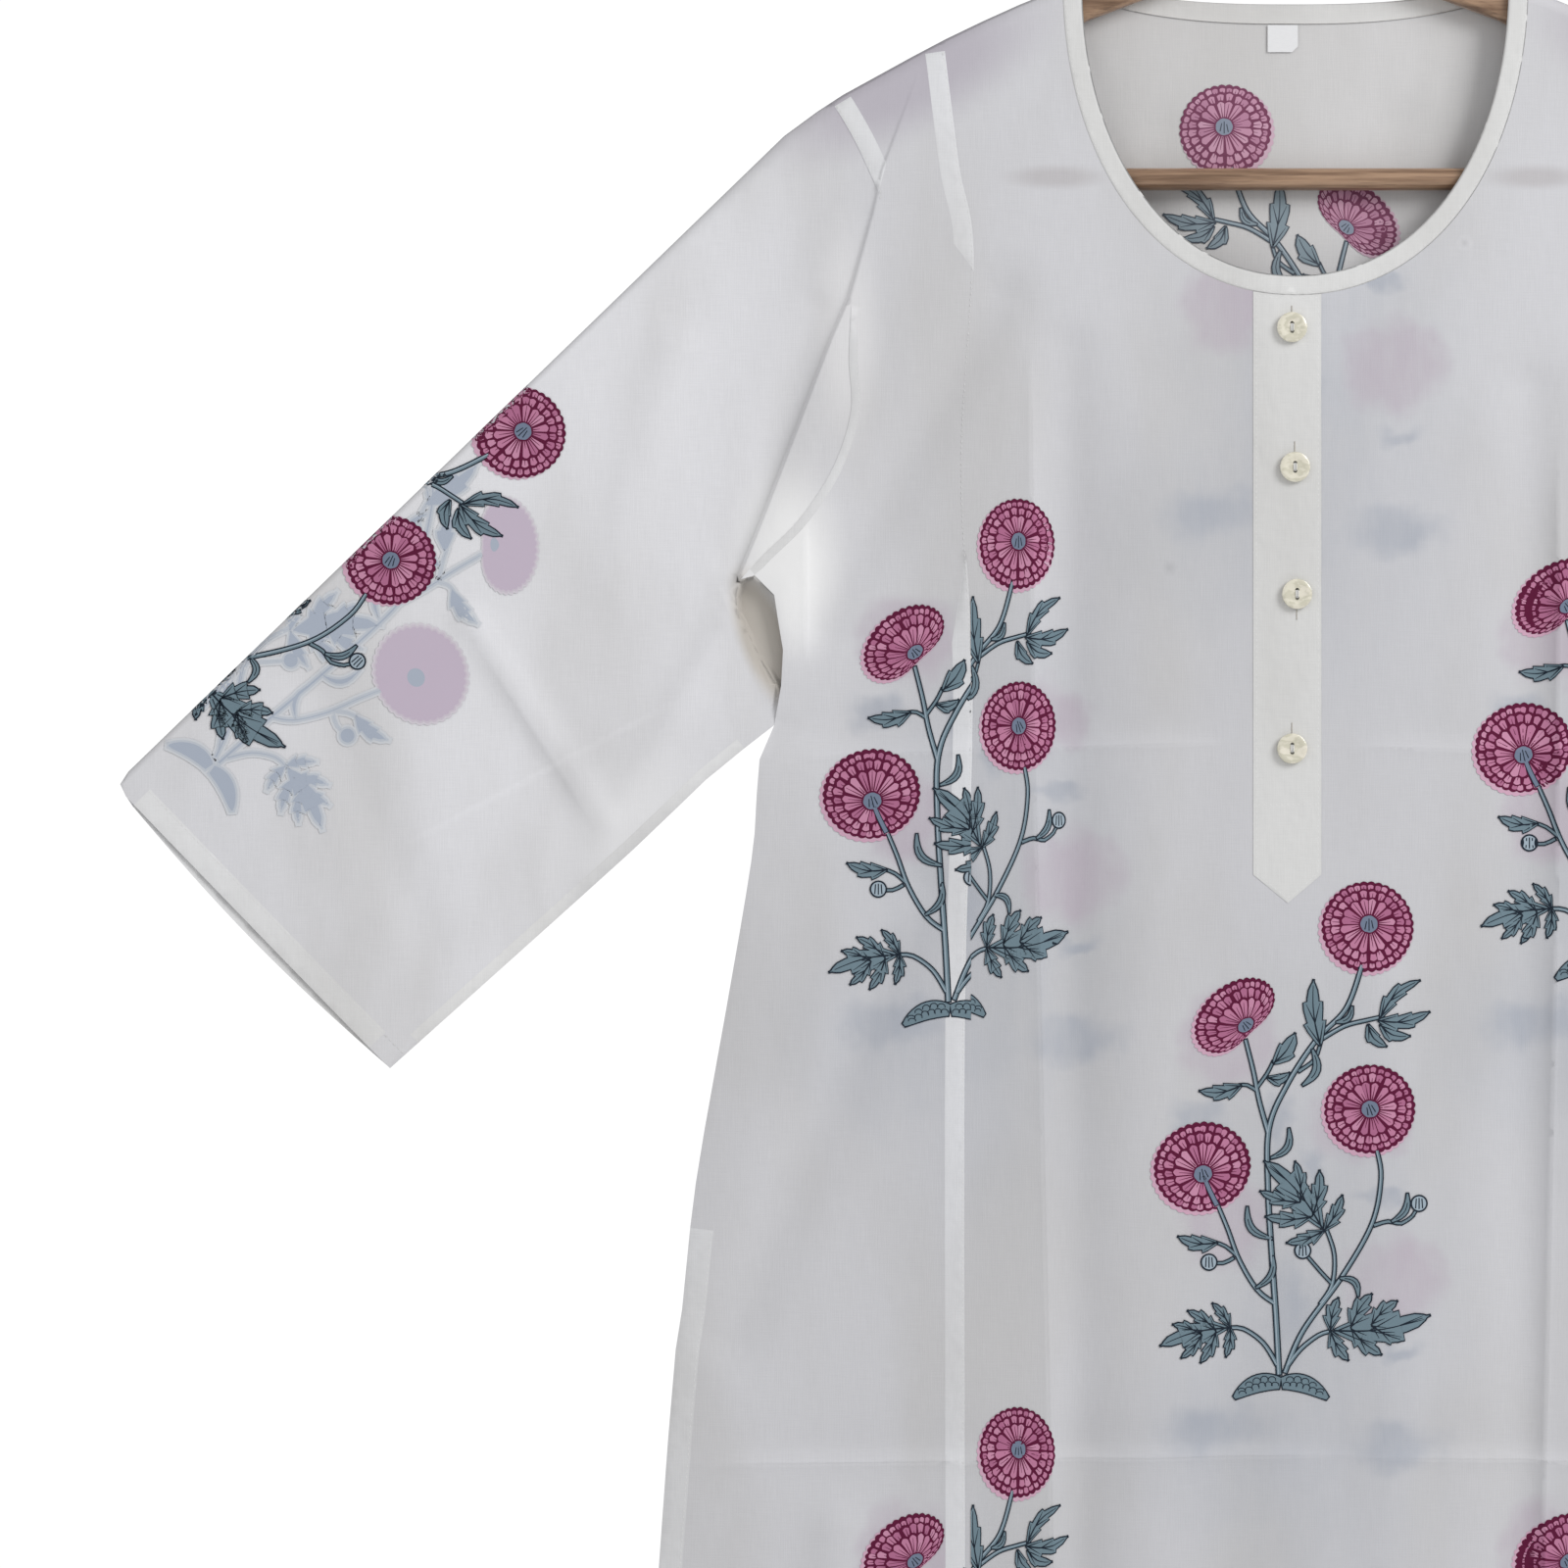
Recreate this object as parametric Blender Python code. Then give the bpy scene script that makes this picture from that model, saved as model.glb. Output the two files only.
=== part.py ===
"""A cotton kurta tunic hanging on a wooden hanger. Its front faces -Y, up is +Z, and the origin is the
inside top of the hanger's hook. Lengths in the tables are millimetres, and the meshes are metres.

Each cut piece is a flat pattern in the hanging plane: "out" is the distance from the centre line and
"height" is measured up from the origin. The pattern is triangulated, set back or forward from the
hanger's plane by front_depth or back_depth, and given the thickness of a wall."""

import math

import bmesh
import bpy
import numpy as np
from mathutils import Vector
from mathutils.geometry import delaunay_2d_cdt

MM = 0.001

# Walls and gaps
CLOTH = 1.2
BINDING = 1.8
SEAM_GAP = 0.3
SPACING = 42.0
EDGE_STEP = 29.0
EDGE_CLEAR = 0.42
LINE_TRIM = 2.0
SLOPE_STEP = 0.05

# Outlines of the right half, as (out, height)
SHOULDER = [
    (108.5, -110.0),
    (140.0, -122.5),
    (177.5, -140.0),
    (210.0, -157.5),
    (230.0, -168.5),
    (243.0, -177.0),
    (260.0, -189.5),
]
HANGER_SLOPE = 0.377
HANGER_PEAK_BLUNT = 12.0
CUFF_TOP = (601.0, -520.0)
CUFF_BOTTOM = (461.0, -665.0)
CUFF_CORNER = 9.0
CUFF_CORNER_ROUND = 0.25
CUFF_STEPS = 9
BACK_CUFF_DROP = 4.5
PANEL_SEAM = [
    (179.0, -140.8),
    (171.0, -205.0),
    (163.5, -252.0),
    (169.0, -360.0),
    (164.0, -475.0),
    (168.0, -640.0),
    (168.0, -900.0),
    (167.5, -1225.0),
]
ARMHOLE_TOP = (236.0, -172.2)
FRONT_ARMHOLE = [ARMHOLE_TOP, (223.5, -194.0), (211.5, -220.0)]
ARMHOLE_UNDER_FOLD = [(211.5, -220.0), (219.0, -249.0), (225.5, -273.0)]
FRONT_ARMHOLE_LOW = [
    (225.5, -273.0),
    (227.0, -304.0),
    (226.0, -330.5),
    (235.0, -359.0),
    (251.5, -384.5),
    (270.5, -403.5),
    (282.0, -416.0),
]
BACK_ARMHOLE = [
    ARMHOLE_TOP,
    (221.0, -230.0),
    (217.0, -300.0),
    (227.0, -365.0),
    (250.0, -430.0),
    (265.0, -490.0),
]
UNDERARM = (265.0, -490.0)
UNDERARM_HOLLOW = [
    (282.0, -416.0),
    (275.0, -414.0),
    (265.0, -424.0),
    (262.5, -440.0),
    (260.5, -452.0),
    (261.5, -470.0),
    UNDERARM,
]
SLEEVE_UNDER = [UNDERARM, (300.0, -518.0), (337.5, -554.0), CUFF_BOTTOM]
SIDE = [
    UNDERARM,
    (272.5, -507.5),
    (275.0, -545.0),
    (279.5, -577.0),
    (290.5, -640.5),
    (305.0, -723.5),
    (312.0, -788.0),
    (319.0, -852.5),
    (345.0, -1222.0),
]
HEM_MIDDLE = -1228.0

# Neck
NECK_HALF = 108.5
NECK_TOP = -110.0
NECK_DEPTH = 151.5
NECK_ROUND = 2.13
BACK_NECK_DIP = 11.0
BACK_NECK_ROUND = 2.56
BINDING_WIDTH = 10.0
NECK_RUN = 250.0
NECK_STEP = 17.4
NECK_TURN_STEP = 0.002
BACK_NECK_STEPS = (0.0, 0.01, 0.03, 0.06, 0.1, 0.18, 0.3, 0.45, 0.6, 0.8, 1.0)

# Placket, label and buttons, as x and height
PLACKET_LEFT = -21.0
PLACKET_RIGHT = 12.5
PLACKET_STITCH = -530.5
PLACKET_SHOULDER = -566.0
PLACKET_TIP = (-4.0, -580.5)
PLACKET_LAP = 0.6
BUTTONS = [(-2.0, -288.0), (-0.5, -359.0), (0.5, -423.5), (-2.0, -502.0)]
BUTTON_RADIUS = 7.7
BUTTON_THICK = 2.6
BUTTON_HOLE_RADIUS = 1.1
BUTTON_HOLE_SPREAD = 4.0
TAB = {"left": -12.5, "right": 3.0, "top": -131.6, "bottom": -145.5, "chamfer": 3.0, "thick": 1.0}

# How far each layer stands from the hanger's plane
TOP_GAP = 0.27
TURN_ROWS = (0.08, 0.28, 0.6, 1.0)
EDGE_GAP = 0.76
EDGE_EASE = 38.0
SHOULDER_ROUND = 8.0
SLEEVE_ROUND = 4.0
SLEEVE_ROW_TURN = 5.2
SLEEVE_GAP = 7.0
SLEEVE_EASE = 110.0
BODY_GAPS = [
    {"height": -100.0, "gap": 8.6},
    {"height": -330.0, "gap": 8.8},
    {"height": -700.0, "gap": 10.0},
    {"height": -1228.0, "gap": 11.5},
]

# The body's cloth laps over the sleeve along this edge, raised by "rise" and easing off behind it
DRAG_EDGE = [
    {"out": 190.0, "height": -158.0, "rise": 0.0},
    {"out": 209.0, "height": -209.0, "rise": 1.6},
    {"out": 213.5, "height": -230.0, "rise": 2.2},
    {"out": 225.5, "height": -273.0, "rise": 3.0},
    {"out": 235.0, "height": -295.0, "rise": 3.4},
    {"out": 250.5, "height": -336.0, "rise": 3.8},
    {"out": 270.5, "height": -388.0, "rise": 4.0},
    {"out": 282.0, "height": -416.0, "rise": 4.0},
]
HOLLOW_RISES = [4.0, 4.0, 3.8, 3.4, 3.0, 1.6, 0.0]
DRAG_LIP = 0.5
DRAG_RAMP = 2.4
DRAG_EASE = 65.0
HOLLOW = {"out": 272.0, "height": -444.0, "half_width": 8.0, "half_height": 24.0, "depth": 4.0}

# Soft folds as x and height of their ends, positive depth away from the hanger
FOLD_COLUMNS = ("x0", "z0", "x1", "z1", "depth", "half_width")
FRONT_FOLDS = [
    (-152, -272, -243, -436, -3.2, 15),
    (-192, -574, -288, -800, -4.0, 17),
    (-116, -300, -106, -1228, -2.6, 13),
    (-74, -340, -78, -1228, 2.0, 20),
    (-232, -900, -262, -1228, 3.2, 15),
    (-196, -960, -210, -1228, -2.6, 12),
    (-30, -700, -26, -1228, -2.0, 18),
    (44, -620, 52, -1228, 2.4, 18),
    (120, -320, 112, -1228, -2.8, 14),
    (160, -280, 236, -430, -3.0, 14),
    (206, -600, 282, -850, -3.6, 18),
    (226, -920, 250, -1228, 3.0, 16),
    (282, -1010, 296, -1228, -2.4, 12),
    (-243, -280, -284, -404, -2.2, 10),
    (-290, -440, -352, -548, 2.6, 9),
    (-420, -436, -350, -540, 2.4, 8),
    (-318, -300, -350, -420, 1.6, 14),
    (-500, -470, -440, -600, -1.6, 14),
    (243, -280, 286, -406, -2.4, 11),
    (294, -430, 360, -556, 2.4, 10),
    (410, -420, 342, -530, 2.2, 9),
    (506, -480, 450, -610, -1.8, 15),
]
BACK_FOLDS = [
    (-62, -190, -128, -420, 2.6, 16),
    (58, -184, 20, -360, 2.2, 15),
    (96, -210, 150, -430, 2.4, 16),
    (-170, -300, -240, -450, -2.8, 15),
    (176, -300, 238, -452, -3.0, 16),
    (-40, -420, -48, -1228, -2.6, 18),
    (36, -480, 44, -1228, 2.4, 20),
    (-132, -520, -140, -1228, 2.6, 18),
    (124, -560, 138, -1228, -2.8, 17),
    (-206, -600, -262, -1228, -3.0, 17),
    (212, -640, 268, -1228, 3.0, 18),
    (-300, -440, -360, -552, 2.4, 10),
    (300, -436, 356, -548, 2.2, 10),
    (-430, -440, -470, -590, -1.8, 15),
    (436, -450, 480, -600, -1.6, 14),
]
FOLD_FLANK = 0.85
FOLD_EDGE_EASE = 20.0
FOLD_STEP = 52.0

# Hanger
BOARD_DROP = 1.8
BOARD_INSETS = [
    {"inset": 0.0, "half": 1.6},
    {"inset": 0.6, "half": 3.2},
    {"inset": 2.2, "half": 4.7},
    {"inset": 5.0, "half": 5.5},
]
BOARD_UNDER = [
    (237.5, -190.0),
    (236.0, -210.0),
    (228.0, -222.0),
    (217.0, -225.0),
    (209.0, -219.0),
    (209.0, -203.0),
    (200.0, -188.0),
    (177.5, -168.0),
    (140.0, -147.0),
    (104.0, -130.2),
    (77.5, -120.2),
    (30.0, -103.0),
]
BOARD_MIDDLE_UNDER = -99.0
BOARD_TOP_OUT = 236.5
BAR_HEIGHT = -211.5
BAR_RADIUS = 5.7
BAR_HALF = 208.7
WIRE_RADIUS = 1.9
HOOK_INNER = 17.0
HOOK_FROM = -50.0
HOOK_TO = 205.0
HOOK_STEPS = 13
HOOK_STEP = 6.1
HOOK_CLEAR = 0.7
HOOK_STEM = [(0.0, -58.0), (1.0, -48.0), (6.0, -39.0)]

COLOURS = {
    "ivory_cotton": {"colour": (0.84, 0.83, 0.80), "roughness": 0.85, "metallic": 0.0},
    "cotton_binding": {"colour": (0.88, 0.87, 0.84), "roughness": 0.85, "metallic": 0.0},
    "pearl_button": {"colour": (0.88, 0.86, 0.76), "roughness": 0.25, "metallic": 0.0},
    "size_label": {"colour": (0.93, 0.93, 0.94), "roughness": 0.6, "metallic": 0.0},
    "hanger_wood": {"colour": (0.36, 0.19, 0.10), "roughness": 0.4, "metallic": 0.0},
    "hook_steel": {"colour": (0.62, 0.62, 0.62), "roughness": 0.25, "metallic": 1.0},
}


# ---------------------------------------------------------------- paths in the hanging plane


def spaced(points, step):
    """The same polyline with no stretch longer than step."""
    out = [points[0]]
    for a, b in zip(points, points[1:]):
        parts = max(1, math.ceil(math.dist(a, b) / step))
        for i in range(1, parts + 1):
            t = i / parts
            out.append((a[0] + (b[0] - a[0]) * t, a[1] + (b[1] - a[1]) * t))
    return out


def curved(points, step):
    """A smooth curve through the points (Catmull-Rom), as a polyline of about step long stretches."""
    ends = [points[0], *points, points[-1]]
    out = [points[0]]
    for a, b, c, d in zip(ends, ends[1:], ends[2:], ends[3:]):
        parts = max(1, math.ceil(math.dist(b, c) / step))
        for i in range(1, parts + 1):
            t = i / parts
            shares = (
                (-t + 2 * t**2 - t**3) / 2,
                (2 - 5 * t**2 + 3 * t**3) / 2,
                (t + 4 * t**2 - 3 * t**3) / 2,
                (-(t**2) + t**3) / 2,
            )
            out.append(tuple(sum(w * q for w, q in zip(shares, places)) for places in zip(a, b, c, d)))
    return out


def with_turn_rows(path):
    """The path with corners added near its first end, where it crosses the rows of the shoulder's turn."""
    start, after = np.array(path[0]), np.array(path[1])
    run = (after - start) / np.linalg.norm(after - start)
    rows = [tuple(start + run * SHOULDER_ROUND * share) for share in TURN_ROWS]
    return [path[0], *rows, *path[1:]]


def to_side(path, side):
    return [(side * x, z) for x, z in path]


def mirrored(path):
    return to_side(path, -1)


def nearest(path, where):
    """For each point: its distance to the path, its signed distance (positive on the right of the path as
    drawn on a page), and how far along the path, in corners, the nearest place lies."""
    path = np.array(path, float)
    a, b = path[:-1], path[1:]
    run = b - a
    best = np.full(len(where), np.inf)
    sign = np.ones(len(where))
    along = np.zeros(len(where))
    for i in range(len(a)):
        off = where - a[i]
        t = np.clip(off @ run[i] / (run[i] @ run[i]), 0, 1)
        gap = off - t[:, None] * run[i]
        d = np.hypot(gap[:, 0], gap[:, 1])
        closer = d < best - 1e-9
        best = np.where(closer, d, best)
        turn = off[:, 0] * run[i][1] - off[:, 1] * run[i][0]
        sign = np.where(closer, np.sign(turn), sign)
        along = np.where(closer, i + t, along)
    return best, best * sign, along


def smooth_step(t):
    t = np.clip(t, 0, 1)
    return t * t * (3 - 2 * t)


def top_height(out):
    """The hanger's slope carried to its middle, for places between the shoulders."""
    return NECK_TOP + HANGER_SLOPE * (NECK_HALF - np.hypot(out, HANGER_PEAK_BLUNT))


def hem_height(x):
    return HEM_MIDDLE + (SIDE[-1][1] - HEM_MIDDLE) * (abs(x) / SIDE[-1][0]) ** 2


def neck_curve(reach):
    """The front neckline from the shoulder down to its middle, "reach" outside the binding's inner edge."""
    start = 0.0
    while True:
        out, height = neck_place(reach, start)
        if height < np.interp(out, *zip(*TOP_PATH)) + 1e-6:
            break
        start += NECK_TURN_STEP
    count = math.ceil(NECK_RUN / NECK_STEP)
    turns = [start + (math.pi / 2 - start) * i / count for i in range(count + 1)]
    first = neck_place(reach, start)[0]
    points = [neck_place(reach, turn) for turn in turns]
    points[0] = (first, float(np.interp(first, *zip(*TOP_PATH))))
    return with_turn_rows(points)


def neck_place(reach, turn):
    power = 2 / NECK_ROUND
    return (
        (NECK_HALF + reach) * max(math.cos(turn), 0.0) ** power,
        NECK_TOP - (NECK_DEPTH + reach) * math.sin(turn) ** power,
    )


def neck_height_at(x):
    """The height of the binding's outer edge at the front."""
    share = min(abs(x) / (NECK_HALF + BINDING_WIDTH), 1.0)
    return NECK_TOP - (NECK_DEPTH + BINDING_WIDTH) * (1 - share**NECK_ROUND) ** (1 / NECK_ROUND)


def back_neck_height(x, reach=0.0):
    share = min(abs(x) / (NECK_HALF + reach), 1.0)
    low = NECK_TOP - BACK_NECK_DIP - reach
    high = float(np.interp(NECK_HALF + reach, *zip(*TOP_PATH)))
    return low + (high - low) * share**BACK_NECK_ROUND


def from_top(points):
    """The points as a smooth path whose first one is set on the top edge."""
    start = (points[0][0], float(np.interp(points[0][0], *zip(*TOP_PATH))))
    return curved([start, *points[1:]], EDGE_STEP)


SHOULDER_PATH = curved(SHOULDER, EDGE_STEP)
TOP_PATH = SHOULDER_PATH[:-1] + spaced([SHOULDER[-1], CUFF_TOP], EDGE_STEP)
RIDGE_PATH = [(float(x), float(top_height(x))) for x in np.linspace(0, NECK_HALF - 9, 8)] + TOP_PATH
UNDER_PATH = list(reversed(curved(SLEEVE_UNDER, EDGE_STEP))) + curved(SIDE, EDGE_STEP)[1:]
SEAM_PATH = with_turn_rows(from_top(PANEL_SEAM))
SIDE_PATH = curved(SIDE, EDGE_STEP)
FRONT_ARMHOLE_PATH = (
    with_turn_rows(from_top(FRONT_ARMHOLE))
    + curved(ARMHOLE_UNDER_FOLD, EDGE_STEP)[1:]
    + curved(FRONT_ARMHOLE_LOW, EDGE_STEP)[1:]
)
BACK_ARMHOLE_PATH = with_turn_rows(from_top(BACK_ARMHOLE))
DRAG_PATH = [(row["out"], row["height"]) for row in DRAG_EDGE] + UNDERARM_HOLLOW[1:]
DRAG_RISES = [row["rise"] for row in DRAG_EDGE] + HOLLOW_RISES[1:]


# ---------------------------------------------------------------- depth of the two layers


def sleeve_share(out, height):
    """0 on the body, rising to 1 on the sleeve, outward of the line from shoulder to underarm."""
    lean = (UNDERARM[0] - ARMHOLE_TOP[0]) / (ARMHOLE_TOP[1] - UNDERARM[1])
    line = ARMHOLE_TOP[0] + (ARMHOLE_TOP[1] - height) * lean
    return smooth_step((out - line) / SLEEVE_EASE)


def folds_at(table, x, height):
    where = np.stack([x, height], 1)
    total = np.zeros(len(x))
    for row in table:
        fold = dict(zip(FOLD_COLUMNS, row))
        d = nearest([(fold["x0"], fold["z0"]), (fold["x1"], fold["z1"])], where)[0]
        total += fold["depth"] * np.exp(-((d / fold["half_width"]) ** 2))
    return total


def drag_rise(out, height):
    """How far the body's cloth is raised where it laps over the sleeve."""
    _, side, along = nearest(DRAG_PATH, np.stack([out, height], 1))
    rise = np.interp(along, range(len(DRAG_RISES)), DRAG_RISES)
    return rise * smooth_step(1 - (side - DRAG_LIP) / DRAG_RAMP) * np.exp(np.minimum(side, 0) / DRAG_EASE)


def hollow_depth(out, height):
    across = (out - HOLLOW["out"]) / HOLLOW["half_width"]
    up = (height - HOLLOW["height"]) / HOLLOW["half_height"]
    return HOLLOW["depth"] * np.exp(-(across**2) - up**2)


def layer_gap(x, height, folds, laps):
    """Distance of a layer's middle from the hanger's plane."""
    out = np.abs(x)
    where = np.stack([out, height], 1)
    below_top = nearest(RIDGE_PATH, where)[1] - SEAM_GAP / 2
    from_edge = nearest(UNDER_PATH, where)[0]
    sleeve = sleeve_share(out, height)
    heights = [row["height"] for row in BODY_GAPS][::-1]
    gaps = [row["gap"] for row in BODY_GAPS][::-1]
    full = np.interp(height, heights, gaps) * (1 - sleeve) + SLEEVE_GAP * sleeve
    gap = EDGE_GAP + (full - EDGE_GAP) * (1 - np.exp(-from_edge / EDGE_EASE))
    gap += folds_at(folds, x, height) * (1 - np.exp(-from_edge / FOLD_EDGE_EASE))
    if laps:
        gap += drag_rise(out, height) - hollow_depth(out, height)
    gap = np.maximum(gap, EDGE_GAP)
    turn = SHOULDER_ROUND * (1 - sleeve) + SLEEVE_ROUND * sleeve
    rounded = np.sqrt(1 - (1 - np.clip(below_top / turn, 0, 1)) ** 2)
    return TOP_GAP + (gap - TOP_GAP) * rounded


def front_depth(x, height, lift=0.0):
    return -layer_gap(x, height, FRONT_FOLDS, True) - lift


def back_depth(x, height, lift=0.0):
    return layer_gap(x, height, BACK_FOLDS, False) + lift


# ---------------------------------------------------------------- from pattern to wall


def shrunk(outline, by):
    """The closed outline moved inward by a little, so that neighbours keep a gap at their seam."""
    points = np.array(outline, float)
    before, after = np.roll(points, 1, 0), np.roll(points, -1, 0)
    area = np.sum(points[:, 0] * after[:, 1] - after[:, 0] * points[:, 1])
    turn = 1.0 if area > 0 else -1.0
    sides = []
    for a, b in ((before, points), (points, after)):
        run = b - a
        run /= np.linalg.norm(run, axis=1)[:, None]
        sides.append(turn * np.stack([-run[:, 1], run[:, 0]], 1))
    middle = sides[0] + sides[1]
    share = np.maximum(np.sum(middle * middle, 1), 0.5)
    return points + by * 2 * middle / share[:, None]


def inside(outline, where):
    points = np.array(outline, float)
    found = np.zeros(len(where), bool)
    for (x0, z0), (x1, z1) in zip(points, np.roll(points, -1, 0)):
        crosses = (z0 > where[:, 1]) != (z1 > where[:, 1])
        rise = z1 - z0 if z1 != z0 else 1e-12
        found ^= crosses & (where[:, 0] < (x1 - x0) * (where[:, 1] - z0) / rise + x0)
    return found


def cut_piece(outline, lines, spacing=SPACING):
    """Triangulates a pattern piece whose mesh follows the given lines. Returns points and triangles."""
    border = shrunk(outline, SEAM_GAP / 2)
    count = len(border)
    points = [tuple(p) for p in border]
    edges = [(i, (i + 1) % count) for i in range(count)]
    ring = list(border) + [border[0]]
    for line in lines:
        fine = spaced(line, LINE_TRIM)
        places = np.array(fine, float)
        kept = inside(border, places) & (nearest(ring, places)[0] > LINE_TRIM / 3)
        corners = set(line)
        joined = False
        for i, place in enumerate(fine):
            if not kept[i]:
                joined = False
                continue
            ends = i in (0, len(fine) - 1) or not (kept[i - 1] and kept[i + 1])
            if ends or place in corners:
                if joined:
                    edges.append((len(points) - 1, len(points)))
                points.append(place)
                joined = True
    low, high = border.min(0), border.max(0)
    fixed = np.array(points)
    row_gap = spacing * 0.87
    grid = []
    for row in range(int((high[1] - low[1]) / row_gap) + 2):
        start = low[0] + (row % 2) * spacing / 2
        for column in range(int((high[0] - low[0]) / spacing) + 2):
            grid.append((start + column * spacing, low[1] + row * row_gap))
    grid = np.array(grid)
    grid = grid[inside(border, grid)]
    grid = grid[nearest(ring, grid)[0] > spacing * EDGE_CLEAR]
    if len(grid):
        far = np.ones(len(grid), bool)
        for p in fixed:
            far &= np.hypot(*(grid - p).T) > spacing * EDGE_CLEAR
        points += [tuple(p) for p in grid[far]]
    result = delaunay_2d_cdt([Vector(p) for p in points], edges, [], 1, 1e-5)
    return np.array([tuple(v) for v in result[0]]), [tuple(f) for f in result[2]]


def facing(depth, flat, lift):
    """The direction the cloth faces, towards -Y, from the slope of its depth. Shared along a seam."""
    slopes = []
    for axis in (0, 1):
        step = np.zeros(2)
        step[axis] = SLOPE_STEP
        near, far = flat - step, flat + step
        rise = depth(far[:, 0], far[:, 1], lift) - depth(near[:, 0], near[:, 1], lift)
        slopes.append(rise / (2 * SLOPE_STEP))
    normal = np.stack([slopes[0], -np.ones(len(flat)), slopes[1]], 1)
    return normal / np.linalg.norm(normal, axis=1)[:, None]


def new_object(name, mesh, slot):
    mesh.materials.append(material(slot))
    made = bpy.data.objects.new(name, mesh)
    bpy.context.scene.collection.objects.link(made)
    return made


def wall(name, slot, outline, depth, lines=(), thick=CLOTH, lift=0.0, spacing=SPACING):
    """One closed wall of cloth, its faces pointing out."""
    flat, faces = cut_piece(outline, lines, spacing)
    middle = np.stack([flat[:, 0], depth(flat[:, 0], flat[:, 1], lift), flat[:, 1]], 1)
    faces = np.array(faces)
    normal = facing(depth, flat, lift)
    edges = {}
    for face in faces.tolist():
        for a, b in zip(face, face[1:] + face[:1]):
            edges[(a, b)] = True
    rim = [(a, b) for a, b in edges if (b, a) not in edges]
    count = len(middle)
    places = np.concatenate([middle + normal * thick / 2, middle - normal * thick / 2]) * MM
    all_faces = faces.tolist() + [[c + count, b + count, a + count] for a, b, c in faces.tolist()]
    all_faces += [[b, a, a + count, b + count] for a, b in rim]
    mesh = bpy.data.meshes.new(name)
    mesh.from_pydata(places.tolist(), [], all_faces)
    mesh.update()
    made = new_object(name, mesh, slot)
    mesh.shade_smooth()
    mesh.set_sharp_from_angle(angle=math.radians(50))
    return made


def material(slot):
    found = bpy.data.materials.get(slot)
    if found:
        return found
    look = COLOURS[slot]
    made = bpy.data.materials.new(slot)
    made.use_nodes = True
    shader = made.node_tree.nodes["Principled BSDF"]
    shader.inputs["Base Color"].default_value = (*look["colour"], 1.0)
    shader.inputs["Roughness"].default_value = look["roughness"]
    shader.inputs["Metallic"].default_value = look["metallic"]
    return made


# ---------------------------------------------------------------- lines that the meshes follow


def top_rows(turn, side):
    """Rows just under the shoulder and the sleeve's top edge, where the cloth turns over."""
    rows = []
    for share in TURN_ROWS:
        path = np.array(TOP_PATH)
        run = np.gradient(path, axis=0)
        run /= np.linalg.norm(run, axis=1)[:, None]
        row = path + np.stack([run[:, 1], -run[:, 0]], 1) * turn * share
        rows.append([(side * x, z) for x, z in row])
    return rows


def fold_lines(table):
    lines = []
    for row in table:
        fold = dict(zip(FOLD_COLUMNS, row))
        ends = np.array([(fold["x0"], fold["z0"]), (fold["x1"], fold["z1"])], float)
        run = ends[1] - ends[0]
        run /= np.linalg.norm(run)
        across = np.array([-run[1], run[0]]) * fold["half_width"] * FOLD_FLANK
        for share in (-1, 0, 1):
            lines.append(spaced([tuple(p) for p in ends + share * across], FOLD_STEP))
    return lines


def drag_lines(side):
    path = np.array(DRAG_PATH)
    run = np.gradient(path, axis=0)
    run /= np.linalg.norm(run, axis=1)[:, None]
    right = np.stack([run[:, 1], -run[:, 0]], 1)
    rims = (path + right * DRAG_LIP, path + right * (DRAG_LIP + DRAG_RAMP))
    return [[(side * x, z) for x, z in line] for line in rims]


# ---------------------------------------------------------------- outlines of the cut pieces


def hem_path(x_from, x_to):
    xs = np.linspace(x_from, x_to, max(2, math.ceil(abs(x_to - x_from) / EDGE_STEP) + 1))
    return [(float(x), float(hem_height(x))) for x in xs]


def between(path, first, last):
    """The corners of a path whose out lies strictly between two values."""
    low, high = min(first, last), max(first, last)
    return [p for p in path if low + 0.5 < p[0] < high - 0.5]


def front_centre_outline():
    neck = neck_curve(BINDING_WIDTH)
    seam_top = SEAM_PATH[0]
    shoulder = [seam_top] + between(TOP_PATH, neck[0][0], seam_top[0])[::-1]
    half = SEAM_PATH[::-1][1:-1] + shoulder + neck
    left = [p for p in mirrored(half) if p[0] < PLACKET_LEFT - 1 or p[1] < PLACKET_STITCH]
    right = [p for p in half if p[0] > PLACKET_RIGHT + 1 or p[1] < PLACKET_STITCH]
    down, up, _ = placket_sides(0.0, PLACKET_STITCH)
    slot = down + up
    seam_foot = SEAM_PATH[-1][0]
    return left + slot + right[::-1] + hem_path(seam_foot, -seam_foot)


def front_side_outline(side):
    seam_top = SEAM_PATH[0]
    shoulder = [seam_top] + between(TOP_PATH, seam_top[0], ARMHOLE_TOP[0])
    edge = shoulder + FRONT_ARMHOLE_PATH + UNDERARM_HOLLOW[1:] + SIDE_PATH[1:]
    hem = hem_path(SIDE_PATH[-1][0], SEAM_PATH[-1][0])[1:]
    return to_side(edge + hem + SEAM_PATH[::-1][1:-1], side)


def cuff_path(drop):
    """The cuff from its top corner to its bottom one. The corner on the fold is rounded."""
    top, bottom = np.array(CUFF_TOP), np.array(CUFF_BOTTOM)
    run = (bottom - top) / np.linalg.norm(bottom - top)
    away = np.array([-run[1], run[0]])
    path = []
    for i in range(CUFF_STEPS + 1):
        t = i / CUFF_STEPS
        path.append(tuple(top + (bottom - top) * t + away * drop * math.sin(math.pi * t)))
    along_top = np.array(TOP_PATH[-2]) - top
    along_top = along_top / np.linalg.norm(along_top)
    before, after = along_top * CUFF_CORNER, run * CUFF_CORNER
    corner = [tuple(top + before), tuple(top + (before + after) * CUFF_CORNER_ROUND), tuple(top + after)]
    return corner + path[1:]


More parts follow.
